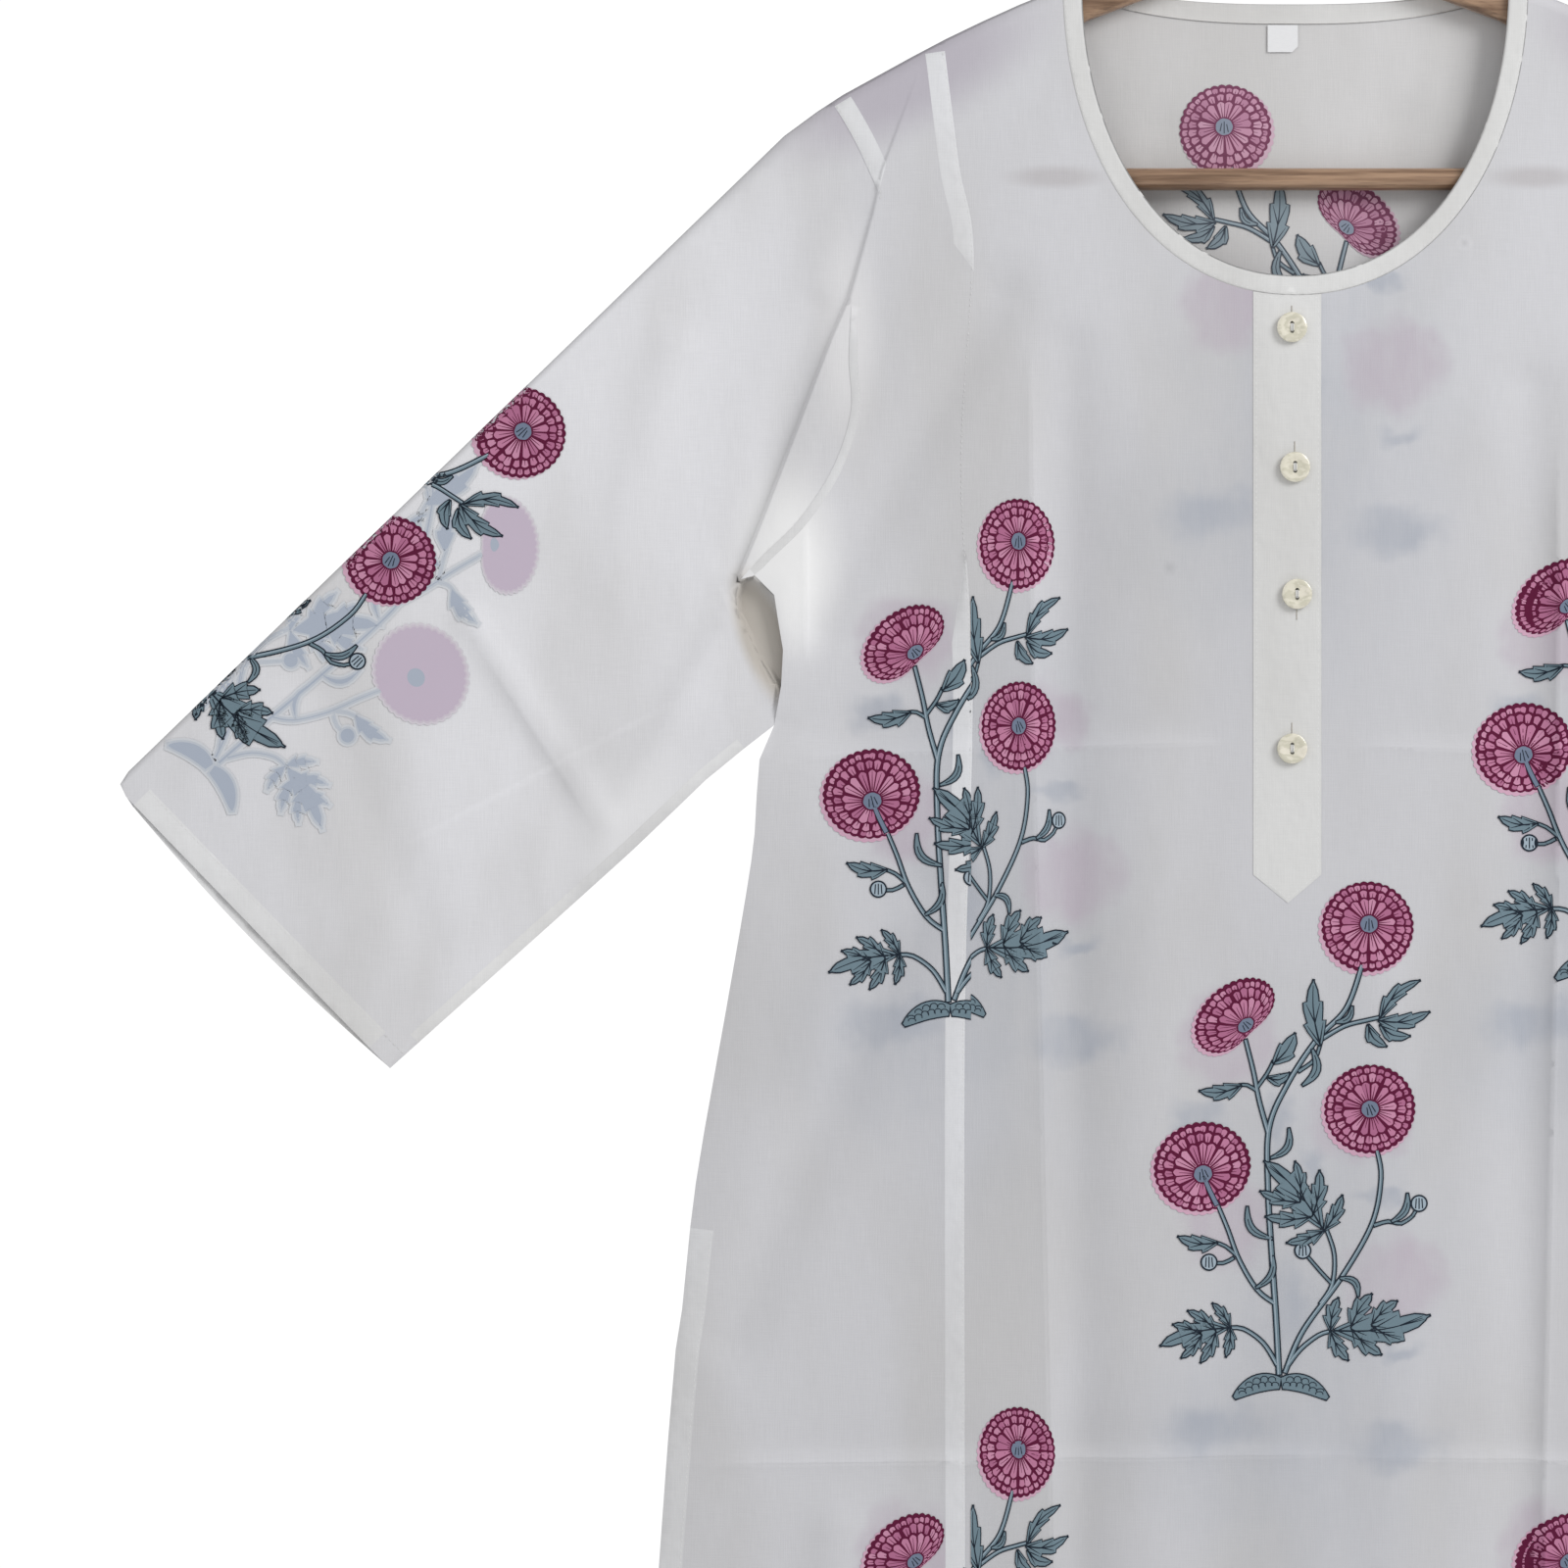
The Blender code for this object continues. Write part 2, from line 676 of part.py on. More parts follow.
def sleeve_outline(side, armhole, drop):
    top = between(TOP_PATH, ARMHOLE_TOP[0], CUFF_TOP[0] - CUFF_CORNER)
    under = list(reversed(curved(SLEEVE_UNDER, EDGE_STEP)))[1:]
    return to_side(top + cuff_path(drop) + under + armhole[::-1][1:], side)


def back_neck_curve(reach):
    """The back neckline from the shoulder to its middle, closer together where it crosses the turn."""
    half = NECK_HALF + reach
    outs = [half * (1 - share) for share in BACK_NECK_STEPS]
    return [(out, back_neck_height(out, reach)) for out in outs]


def back_outline():
    neck = back_neck_curve(BINDING_WIDTH)[::-1]
    shoulder = between(TOP_PATH, neck[-1][0], ARMHOLE_TOP[0])
    half = neck + shoulder + BACK_ARMHOLE_PATH + SIDE_PATH[1:]
    return half + hem_path(SIDE_PATH[-1][0], -SIDE_PATH[-1][0])[1:-1] + mirrored(half)[::-1][:-1]


def front_binding_outline():
    outer = neck_curve(BINDING_WIDTH)
    inner = neck_curve(0.0)
    return outer + mirrored(outer)[::-1][1:] + mirrored(inner) + inner[::-1][1:]


def back_binding_outline():
    outer, inner = back_neck_curve(BINDING_WIDTH), back_neck_curve(0.0)
    return mirrored(outer) + outer[::-1][1:] + inner + mirrored(inner)[::-1][1:]


def placket_sides(lap, foot):
    """A strip from the binding down to foot, as wide as the placket and "lap" more on each side."""
    left, right = PLACKET_LEFT - lap, PLACKET_RIGHT + lap
    down = spaced([(left, neck_height_at(left)), (left, foot)], EDGE_STEP)
    up = spaced([(right, foot), (right, neck_height_at(right))], EDGE_STEP)
    top = [(x, neck_height_at(x)) for x in (right / 2, 0.0, left / 2)]
    return down, up, top


# ---------------------------------------------------------------- the pieces


def make_front():
    lines = fold_lines(FRONT_FOLDS)
    middle_rows = top_rows(SHOULDER_ROUND, 1) + top_rows(SHOULDER_ROUND, -1)
    wall("front_centre", "ivory_cotton", front_centre_outline(), front_depth, middle_rows + lines)
    for name, side in (("left", -1), ("right", 1)):
        extra = top_rows(SHOULDER_ROUND, side) + drag_lines(side) + lines
        wall("front_side_" + name, "ivory_cotton", front_side_outline(side), front_depth, extra)


def make_back():
    lines = fold_lines(BACK_FOLDS)
    rows = top_rows(SHOULDER_ROUND, 1) + top_rows(SHOULDER_ROUND, -1)
    wall("back", "ivory_cotton", back_outline(), back_depth, rows + lines)


def make_sleeves():
    front_edge = FRONT_ARMHOLE_PATH + UNDERARM_HOLLOW[1:]
    for name, side in (("left", -1), ("right", 1)):
        rows = top_rows(SLEEVE_ROW_TURN, side)
        front_lines = rows + drag_lines(side) + fold_lines(FRONT_FOLDS)
        front = sleeve_outline(side, front_edge, 0.0)
        wall(f"sleeve_{name}_front", "ivory_cotton", front, front_depth, front_lines)
        back = sleeve_outline(side, BACK_ARMHOLE_PATH, BACK_CUFF_DROP)
        wall(f"sleeve_{name}_back", "ivory_cotton", back, back_depth, rows + fold_lines(BACK_FOLDS))


def make_neck():
    rows = top_rows(SHOULDER_ROUND, 1) + top_rows(SHOULDER_ROUND, -1)
    for name, outline, depth in (
        ("neck_binding_front", front_binding_outline(), front_depth),
        ("neck_binding_back", back_binding_outline(), back_depth),
    ):
        wall(name, "cotton_binding", outline, depth, rows, thick=BINDING, spacing=BINDING_WIDTH)


def make_placket():
    down, up, top = placket_sides(0.0, PLACKET_STITCH)
    wall("placket_under", "cotton_binding", down + up + top, front_depth)
    down, up, top = placket_sides(PLACKET_LAP, PLACKET_SHOULDER)
    lift = CLOTH + SEAM_GAP
    wall("placket_top", "cotton_binding", down + [PLACKET_TIP] + up + top, front_depth, lift=lift)


def make_buttons():
    face = CLOTH / 2 + CLOTH + 2 * SEAM_GAP
    for index, (x, height) in enumerate(BUTTONS, 1):
        depth = float(front_depth(np.array([x]), np.array([height]))[0]) - face - BUTTON_THICK / 2
        bpy.ops.mesh.primitive_cylinder_add(vertices=28, radius=BUTTON_RADIUS * MM, depth=BUTTON_THICK * MM)
        button = bpy.context.object
        button.name = f"button_{index}"
        button.rotation_euler = (math.radians(90), 0, 0)
        button.location = (x * MM, depth * MM, height * MM)
        button.data.materials.append(material("pearl_button"))
        edge = button.modifiers.new("edge", "BEVEL")
        edge.width = 0.7 * MM
        edge.segments = 2
        for sign in (-1, 1):
            bpy.ops.mesh.primitive_cylinder_add(
                vertices=8, radius=BUTTON_HOLE_RADIUS * MM, depth=4 * BUTTON_THICK * MM
            )
            cutter = bpy.context.object
            cutter.name = f"button_{index}_hole_{'low' if sign < 0 else 'high'}"
            cutter.rotation_euler = (math.radians(90), 0, 0)
            cutter.location = (x * MM, depth * MM, (height + sign * BUTTON_HOLE_SPREAD / 2) * MM)
            cutter.hide_render = True
            cutter.display_type = "WIRE"
            cut = button.modifiers.new(f"hole_{sign}", "BOOLEAN")
            cut.operation = "DIFFERENCE"
            cut.object = cutter


def make_tab():
    """The size label under the back binding, on the inside of the back."""
    left, right, top, bottom = TAB["left"], TAB["right"], TAB["top"], TAB["bottom"]
    cut = TAB["chamfer"]
    outline = [(left, top), (left, bottom), (right - cut, bottom), (right, bottom + cut), (right, top)]
    lift = -(CLOTH / 2 + SEAM_GAP + TAB["thick"] / 2)
    wall("size_tab", "size_label", outline, back_depth, thick=TAB["thick"], lift=lift)


def board_outline():
    """Both arms of the hanger, cut from one board, as a closed outline."""
    xs = np.linspace(0, BOARD_TOP_OUT, 15)
    path = np.array(RIDGE_PATH)
    tops = np.interp(xs, path[:, 0], path[:, 1])
    slope = np.gradient(tops, xs)
    tops = tops - BOARD_DROP * np.hypot(1, slope)
    half = [(float(x), float(z)) for x, z in zip(xs, tops)] + BOARD_UNDER
    return half + [(0.0, BOARD_MIDDLE_UNDER)] + mirrored(half)[::-1][:-1]


def make_board():
    outline = board_outline()
    mesh = bmesh.new()
    rings = []
    steps = [(row["inset"], -row["half"]) for row in BOARD_INSETS[::-1]]
    steps += [(row["inset"], row["half"]) for row in BOARD_INSETS]
    for inset, depth in steps:
        ring = [mesh.verts.new((x * MM, depth * MM, z * MM)) for x, z in shrunk(outline, inset)]
        rings.append(ring)
    for a, b in zip(rings, rings[1:]):
        for i in range(len(a)):
            j = (i + 1) % len(a)
            mesh.faces.new((a[i], a[j], b[j], b[i]))
    mesh.faces.new(rings[0][::-1])
    mesh.faces.new(rings[-1])
    bmesh.ops.recalc_face_normals(mesh, faces=mesh.faces)
    bmesh.ops.triangulate(mesh, faces=[f for f in mesh.faces if len(f.verts) > 4])
    data = bpy.data.meshes.new("hanger_board")
    mesh.to_mesh(data)
    mesh.free()
    new_object("hanger_board", data, "hanger_wood")
    data.shade_smooth()
    data.set_sharp_from_angle(angle=math.radians(40))


def make_bar():
    bpy.ops.mesh.primitive_cylinder_add(vertices=20, radius=BAR_RADIUS * MM, depth=2 * BAR_HALF * MM)
    bar = bpy.context.object
    bar.name = "hanger_bar"
    bar.rotation_euler = (0, math.radians(90), 0)
    bar.location = (0, 0, BAR_HEIGHT * MM)
    bar.data.materials.append(material("hanger_wood"))
    bar.data.shade_smooth()
    bar.data.set_sharp_from_angle(angle=math.radians(40))


def make_hook():
    """A wire from the board's peak, bent to one side and round over the top."""
    ring = HOOK_INNER + WIRE_RADIUS
    centre = WIRE_RADIUS - ring
    foot = float(top_height(0.0)) - BOARD_DROP + HOOK_CLEAR
    points = [(0.0, foot)] + HOOK_STEM
    for turn in np.linspace(HOOK_FROM, HOOK_TO, HOOK_STEPS):
        angle = math.radians(turn)
        points.append((ring * math.cos(angle), centre + ring * math.sin(angle)))
    route = curved(points, HOOK_STEP)
    curve = bpy.data.curves.new("hanger_hook", "CURVE")
    curve.dimensions = "3D"
    curve.bevel_depth = WIRE_RADIUS * MM
    curve.bevel_resolution = 2
    curve.use_fill_caps = True
    spline = curve.splines.new("POLY")
    spline.points.add(len(route) - 1)
    for point, (x, z) in zip(spline.points, route):
        point.co = (x * MM, 0.0, z * MM, 1.0)
    curve.materials.append(material("hook_steel"))
    hook = bpy.data.objects.new("hanger_hook", curve)
    bpy.context.scene.collection.objects.link(hook)


def main():
    for old in list(bpy.data.objects):
        bpy.data.objects.remove(old)
    make_front()
    make_back()
    make_sleeves()
    make_neck()
    make_placket()
    make_buttons()
    make_tab()
    make_board()
    make_bar()
    make_hook()


main()
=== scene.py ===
"""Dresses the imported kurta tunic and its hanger: printed cotton, seams, stitches, buttons, wood and steel.
The front faces -Y, up is +Z, and the origin is the inside top of the hanger's hook. Lengths in the tables
are millimetres; the meshes are metres. "out" is the distance from the centre line."""

import math

import bmesh
import bpy
import numpy as np
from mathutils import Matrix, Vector
from mathutils.geometry import delaunay_2d_cdt


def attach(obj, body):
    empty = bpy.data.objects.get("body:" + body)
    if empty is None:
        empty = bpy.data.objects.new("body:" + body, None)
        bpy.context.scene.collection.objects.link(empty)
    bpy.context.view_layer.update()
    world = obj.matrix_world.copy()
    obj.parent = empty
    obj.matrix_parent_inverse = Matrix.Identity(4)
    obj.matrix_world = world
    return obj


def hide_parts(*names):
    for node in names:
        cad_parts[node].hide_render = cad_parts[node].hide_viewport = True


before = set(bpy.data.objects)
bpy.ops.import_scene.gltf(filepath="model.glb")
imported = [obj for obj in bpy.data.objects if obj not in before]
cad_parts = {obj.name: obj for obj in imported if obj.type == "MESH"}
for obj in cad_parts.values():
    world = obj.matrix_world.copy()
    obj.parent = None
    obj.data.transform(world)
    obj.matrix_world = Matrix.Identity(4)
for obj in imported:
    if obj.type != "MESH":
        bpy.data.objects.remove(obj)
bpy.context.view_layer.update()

MM = 0.001

# ---------------------------------------------------------------- sizes that the solids also have
SHOULDER = [
    (108.5, -110.0), (140.0, -122.5), (177.5, -140.0), (210.0, -157.5), (230.0, -168.5),
    (243.0, -177.0), (260.0, -189.5),
]
HANGER_SLOPE = 0.377
HANGER_PEAK_BLUNT = 12.0
CUFF_TOP = (601.0, -520.0)
CUFF_BOTTOM = (461.0, -665.0)
CUFF_CORNER = 9.0
CUFF_CORNER_ROUND = 0.25
BACK_CUFF_DROP = 4.5
PANEL_SEAM = [
    (179.0, -140.8), (171.0, -205.0), (163.5, -252.0), (169.0, -360.0), (164.0, -475.0),
    (168.0, -640.0), (168.0, -900.0), (167.5, -1225.0),
]
ARMHOLE_TOP = (236.0, -172.2)
FRONT_ARMHOLE = [ARMHOLE_TOP, (223.5, -194.0), (211.5, -220.0)]
ARMHOLE_UNDER_FOLD = [(211.5, -220.0), (219.0, -249.0), (225.5, -273.0)]
FRONT_ARMHOLE_LOW = [
    (225.5, -273.0), (227.0, -304.0), (226.0, -330.5), (235.0, -359.0), (251.5, -384.5),
    (270.5, -403.5), (282.0, -416.0),
]
BACK_ARMHOLE = [
    ARMHOLE_TOP, (221.0, -230.0), (217.0, -300.0), (227.0, -365.0), (250.0, -430.0), (265.0, -490.0),
]
UNDERARM = (265.0, -490.0)
UNDERARM_HOLLOW = [
    (282.0, -416.0), (275.0, -414.0), (265.0, -424.0), (262.5, -440.0), (260.5, -452.0),
    (261.5, -470.0), UNDERARM,
]
SLEEVE_UNDER = [UNDERARM, (300.0, -518.0), (337.5, -554.0), CUFF_BOTTOM]
SIDE = [
    UNDERARM, (272.5, -507.5), (275.0, -545.0), (279.5, -577.0), (290.5, -640.5), (305.0, -723.5),
    (312.0, -788.0), (319.0, -852.5), (345.0, -1222.0),
]
HEM_MIDDLE = -1228.0
NECK_HALF = 108.5
NECK_TOP = -110.0
NECK_DEPTH = 151.5
NECK_ROUND = 2.13
NECK_TURN_STEP = 0.002
BACK_NECK_DIP = 11.0
BACK_NECK_ROUND = 2.56
BINDING_WIDTH = 10.0
PLACKET_LEFT = -21.6
PLACKET_RIGHT = 13.1
PLACKET_STITCH = -530.5
PLACKET_SHOULDER = -566.0
PLACKET_TIP = (-4.0, -580.5)
BUTTONS = [(-2.0, -288.0), (-0.5, -359.0), (0.5, -423.5), (-2.0, -502.0)]
BUTTON_RADIUS = 7.7
TAB = {"left": -12.5, "right": 3.0, "top": -131.6, "bottom": -145.5, "chamfer": 3.0}

TOP_GAP = 0.27
EDGE_GAP = 0.76
EDGE_EASE = 38.0
SHOULDER_ROUND = 8.0
SLEEVE_ROUND = 4.0
SLEEVE_GAP = 7.0
SLEEVE_EASE = 110.0
# Height, and the layer's distance from the hanger's plane there
BODY_GAPS = [(-100.0, 8.6), (-330.0, 8.8), (-700.0, 10.0), (-1228.0, 11.5)]
# Out and height of the drag line's corners, and how far the body's cloth stands over the sleeve there; then
# the same rises along the hollow under the arm
DRAG_EDGE = [
    (190.0, -158.0, 0.0), (209.0, -209.0, 1.6), (213.5, -230.0, 2.2), (225.5, -273.0, 3.0),
    (235.0, -295.0, 3.4), (250.5, -336.0, 3.8), (270.5, -388.0, 4.0), (282.0, -416.0, 4.0),
]
HOLLOW_RISES = [4.0, 3.8, 3.4, 3.0, 1.6, 0.0]
HOLLOW_RIM = [(282.0, -416.0), (284.5, -424.0), (284.0, -433.0), (271.5, -457.0), (262.0, -472.5)]
HOLLOW_FLOOR = 1.2
HOLLOW_WALL = 3.0
HOLLOW_RIDGE = 0.7
HOLLOW_RIDGE_WIDTH = 1.8
ARMHOLE_FOOT = (282.0, -416.0)
DRAG_LIP = 0.5
DRAG_RAMP = 2.4
DRAG_EASE = 65.0
HOLLOW = {"out": 272.0, "height": -444.0, "half_width": 8.0, "half_height": 24.0, "depth": 4.0}
FOLD_COLUMNS = ("x0", "z0", "x1", "z1", "depth", "half_width")
FRONT_FOLDS = [
    (-152, -272, -243, -436, -3.2, 15),
    (-192, -574, -288, -800, -4.0, 17),
    (-116, -300, -106, -1228, -2.6, 13),
    (-74, -340, -78, -1228, 2.0, 20),
    (-232, -900, -262, -1228, 3.2, 15),
    (-196, -960, -210, -1228, -2.6, 12),
    (-30, -700, -26, -1228, -2.0, 18),
    (44, -620, 52, -1228, 2.4, 18),
    (120, -320, 112, -1228, -2.8, 14),
    (160, -280, 236, -430, -3.0, 14),
    (206, -600, 282, -850, -3.6, 18),
    (226, -920, 250, -1228, 3.0, 16),
    (282, -1010, 296, -1228, -2.4, 12),
    (-243, -280, -284, -404, -2.2, 10),
    (-290, -440, -352, -548, 2.6, 9),
    (-420, -436, -350, -540, 2.4, 8),
    (-318, -300, -350, -420, 1.6, 14),
    (-500, -470, -440, -600, -1.6, 14),
    (243, -280, 286, -406, -2.4, 11),
    (294, -430, 360, -556, 2.4, 10),
    (410, -420, 342, -530, 2.2, 9),
    (506, -480, 450, -610, -1.8, 15),
]
BACK_FOLDS = [
    (-62, -190, -128, -420, 2.6, 16),
    (58, -184, 20, -360, 2.2, 15),
    (96, -210, 150, -430, 2.4, 16),
    (-170, -300, -240, -450, -2.8, 15),
    (176, -300, 238, -452, -3.0, 16),
    (-40, -420, -48, -1228, -2.6, 18),
    (36, -480, 44, -1228, 2.4, 20),
    (-132, -520, -140, -1228, 2.6, 18),
    (124, -560, 138, -1228, -2.8, 17),
    (-206, -600, -262, -1228, -3.0, 17),
    (212, -640, 268, -1228, 3.0, 18),
    (-300, -440, -360, -552, 2.4, 10),
    (300, -436, 356, -548, 2.2, 10),
    (-430, -440, -470, -590, -1.8, 15),
    (436, -450, 480, -600, -1.6, 14),
]
FOLD_EDGE_EASE = 20.0

# ---------------------------------------------------------------- finer form, only here
CLOTH_STEP = 5.0
BACK_STEP = 6.5
CLOTH_THICK = 0.5
EDGE_CURVE_STEP = 29.0
NECK_POINTS = 240
BACK_NECK_POINTS = 200
RIDGE_STOP = 9.0
RIDGE_POINTS = 8
CUFF_POINTS = 42
CUFF_POINT_GAP = 2.0
CREASE_ROWS = (-2.5, 0.0, 2.5)
CORNER_CLEAR = 0.5
HOLLOW_STEP = 2.5
HOLLOW_WALL_ROWS = (0.25, 0.5, 0.75, 1.0)
# How far past the armhole's foot the sleeve starts to pass under the lap, over what height, and the least lap
LAP_FROM = 1.0
LAP_EASE = 3.0
LEAST_LAP = 0.02
# Guards against a division by nothing, a tie between two stretches, a triangle with no area, and points
# that all but meet
NEAR_ZERO = 1e-12
SHORTEST_RUN = 1e-9
LEAST_TURN = 1e-6
ON_EDGE = 1e-6
MERGE_WITHIN = 1e-5
# Shares of the mesh's step: clear of the border, between rows, and clear of the points on the lines
BORDER_CLEAR = 0.2
ROW_SHARE = 0.87
POINT_CLEAR = 0.45
# How far a sharp corner may move when an outline is set in
SHARPEST_CORNER = 0.5
INNER_SHARE = 0.3
LEAST_THICK = 0.15
CUFF_CLOSING = 22.0
CUFF_CLOSED = 2.0
CUFF_LAYERS = 1.4
EDGE_STEP = 5.0
SLOPE_STEP = 0.05
TURN_ROWS = (0.04, 0.12, 0.28, 0.5, 0.75, 1.0)

CREASE_COLUMNS = ("x0", "z0", "x1", "z1", "ridge", "dip", "ridge_width", "dip_width", "fade", "facing")
FRONT_CREASES = [
    (-134, -290, -132, -520, 0.9, 2.4, 4.0, 13.0, 60, 1),
    (-132, -500, -116, -1228, 1.1, 2.6, 4.0, 13.0, 50, 1),
    (135, -340, 134, -600, 0.9, 2.2, 4.0, 12.0, 60, -1),
    (134, -570, 120, -1228, 1.0, 2.4, 4.0, 12.0, 50, -1),
    (-262, -506, -30, -498, 0.8, 1.5, 3.5, 9.0, 40, 1),
    (16, -500, 190, -505, 0.7, 1.2, 3.5, 9.0, 50, 1),
    (-316, -866, 40, -860, 1.0, 1.9, 3.0, 8.0, 60, 1),
    (20, -861, 318, -868, 0.9, 1.6, 3.0, 8.0, 60, 1),
    (-330, -1052, -60, -1046, 0.6, 1.0, 3.5, 9.0, 60, 1),
    (60, -1048, 330, -1054, 0.6, 1.0, 3.5, 9.0, 60, -1),
    (-248.5, -382, -248, -462, 0.5, 0.6, 2.5, 5.0, 20, 1),
    (-292, -418, -266, -480, 0.7, 1.4, 3.0, 6.0, 16, 1),
    (-420, -440, -347, -553, 0.5, 0.8, 4.0, 10.0, 50, -1),
    (420, -440, 349, -553, 0.5, 0.8, 4.0, 10.0, 50, 1),
    (-300, -470, -470, -560, 0.4, 0.9, 4.0, 10.0, 60, -1),
    (300, -470, 470, -560, 0.4, 0.9, 4.0, 10.0, 60, 1),
]
BACK_CREASES = [
    (-128, -300, -118, -1228, 1.0, 2.2, 4.0, 13.0, 60, 1),
    (130, -320, 118, -1228, 1.0, 2.2, 4.0, 13.0, 60, -1),
    (-290, -502, 300, -506, 0.8, 1.6, 3.5, 9.0, 60, 1),
    (-318, -866, 318, -862, 0.9, 1.8, 3.0, 8.0, 60, 1),
    (0, -240, 2, -1228, 0.5, 1.2, 4.0, 12.0, 60, 1),
    (-410, -440, -350, -550, 0.8, 1.2, 4.0, 9.0, 50, -1),
    (410, -440, 350, -550, 0.8, 1.2, 4.0, 9.0, 50, 1),
]

# ---------------------------------------------------------------- the print
PRINT_SCALE = 0.5
PRINT_LIFT = 0.3
SLEEVE_PRINT_LIFT = 0.42
INSIDE_PALER = 0.25
SAME_POINT_DIGITS = 3
PRINT_LEVEL = 0.04
# The print's triangles follow the cloth in steps, finer ones within CREASE_REACH of a crease
PRINT_STEPS = {"front": (5.0, 2.4), "back": (6.5, 3.4), "sleeve": (3.2, 3.2)}
CREASE_REACH = 6.0
OUTLINE = 1.35
HALO_SLIP = (-2.0, -2.5)
HALO_HOLE = 0.8
FLOWER_LOBES = 38
LOBE_RISE = 0.04
RING_COLUMNS = ("disc", "count", "inner", "outer", "shape", "line", "mark")
PETAL_RINGS = [
    (1.0, 36, 0.76, 0.95, "tongue", 0.019, 0.6),
    (0.83, 24, 0.53, 0.81, "lance", 0.022, 0.7),
    (0.63, 16, 0.2, 0.61, "lance", 0.026, 0.7),
]
PETAL_SHAPES = {
    "tongue": [(0.0, 0.55), (0.25, 0.75), (0.6, 0.96), (0.84, 1.0), (0.94, 0.78), (1.0, 0.3)],
    "lance": [(0.0, 0.45), (0.25, 0.62), (0.6, 0.85), (0.86, 1.0), (0.95, 0.68), (1.0, 0.12)],
}
PETAL_TINTS = ["pink", "pink", "pink_deep", "pink_light"]
PETAL_WIDEST = 3
PETAL_SWING = 0.12
PETAL_ENDS = (0.965, 1.01)
LINE_VARIES = (0.8, 1.3)
LEAST_PETAL = 0.003
PETAL_ROOM = 0.9
MARK_HALF = 0.013
MARK_TIP = 0.004
MARK_FOOT = 0.04
MARK_VARIES = (0.6, 1.4)
MARK_LEVEL = 1.5
NOTCH_WIDTH = 0.75
HALO_RIM = 1.03
RING_INSET = 0.93
STEPS_IN_LOBE = 4
ROUND_STEPS = 24
LOBE_MIDDLE = 0.6
DISC_MIDDLE = 0.001
EYE_SHARE = 0.2
# Outer rim, ink, level and lobes
EYE_RINGS = [(1.12, "maroon", 8, 9), (0.94, "eye", 9, 7)]
# Where each short stroke stands, and its two ends
EYE_STROKES = [(-0.45, -0.6, 0.3), (0.0, -0.75, 0.6), (0.45, -0.5, 0.4)]
EYE_STROKE_DRAW = 0.6
EYE_STROKE_HALVES = (0.55, 0.45)
EYE_STROKE_LEVEL = 10
# Each head's middle, radius, squash, turn in degrees, where its eye stands, and its notch
FLOWERS = [
    ((88, 467), 46.5, (1.0, 0.98), 0.0, (0.03, 0.06), 0.0),
    ((90, 282), 46.0, (1.0, 0.97), 20.0, (0.0, 0.0), 0.0),
    ((-80, 223), 48.5, (1.02, 0.93), 14.0, (-0.02, -0.16), 0.0),
    ((-46, 376), 47.0, (1.0, 0.68), 40.0, (0.06, -0.6), 0.3),
]
# The stem that shows over the head seen from its side
OVER_STEM = [(-79, 214), (-72, 198), (-65, 184)]
OVER_STEM_HALVES = [1.7, 1.9, 2.0]
OVER_STEM_LEVEL = 8
OVER_STEM_LINE = 0.9
PLANT_SEED = 5
STEM_STEP = 6.0
STEM_TAPER = 0.75
STEM_LEVEL = 1
SHINY_HALF = 1.3
SHINE_SHARE = 0.3
# Corners and half width, in half millimetres from the plant's foot
STEMS = [
    ([(-2, 12), (-5, 70), (-9, 130), (-13, 200), (-12, 262), (6, 306), (36, 352), (66, 384), (82, 428)], 2.1),
    ([(-13, 258), (-22, 290), (-28, 320), (-36, 352)], 1.7),
    ([(4, 14), (22, 56), (62, 112), (92, 166), (101, 212), (97, 240)], 1.8),
    ([(-6, 84), (-24, 98), (-42, 128), (-54, 160), (-64, 184)], 1.6),
    ([(-4, 22), (-18, 44), (-38, 58), (-54, 59)], 1.6),
    ([(6, 20), (20, 38), (38, 52), (50, 56)], 1.6),
    ([(40, 84), (52, 104), (54, 134), (46, 160)], 1.4),
    ([(94, 164), (108, 168), (122, 166), (134, 174)], 1.2),
    ([(18, 320), (34, 332), (40, 348)], 1.2),
    ([(40, 352), (64, 366), (86, 372), (104, 376)], 1.5),
    ([(-24, 300), (-34, 306), (-42, 306)], 1.1),
    ([(-24, 304), (-14, 318), (-8, 330)], 1.1),
    ([(-44, 132), (-56, 142), (-66, 146)], 1.1),
]
# Where each lobe leaves the midrib, its turn in degrees, and its length, as shares of the leaf's length
LEAF_LOBES = [
    (0.02, 68, 0.44), (0.02, -68, 0.44), (0.22, 50, 0.52), (0.22, -50, 0.52), (0.42, 34, 0.46),
    (0.42, -34, 0.46), (0.05, 0, 0.95),
]
LOBE_HALF = 0.2
LOBE_TEETH = 3
LOBE_BEND = 0.06
LOBE_DEPTH = 0.5
LOBE_LEAN = 0.6
LEAF_LEVEL = 4
# A tooth's corners along its own length, and a leaf's swell: where it ends, how far out its belly is and how
# full it is
TOOTH_CORNERS = (0.12, 0.55, 0.88, 1.0)
LEAF_END = 0.985
LEAF_BELLY = 0.72
LEAF_FULLNESS = 0.8
LEAF_TOOTHED = 0.97
LEAF_FOOT = 0.02
LEAF_TIP = 0.01
LEAST_LEAF = 0.015
VEIN_FROM = 0.25
VEIN_TO = 0.86
VEIN_REACH = 0.75
VEINED_HALF = 2.2
VEIN_HALVES = (0.65, 0.55, 0.2)
MIDRIB_HALVES = (1.0, 0.35)
# Stalk, tip and spread
LOBED_LEAVES = [
    ((-50, 60), (-122, 42), 0.9),
    ((48, 56), (150, 72), 0.74),
    ((45, 157), (-16, 228), 0.95),
]
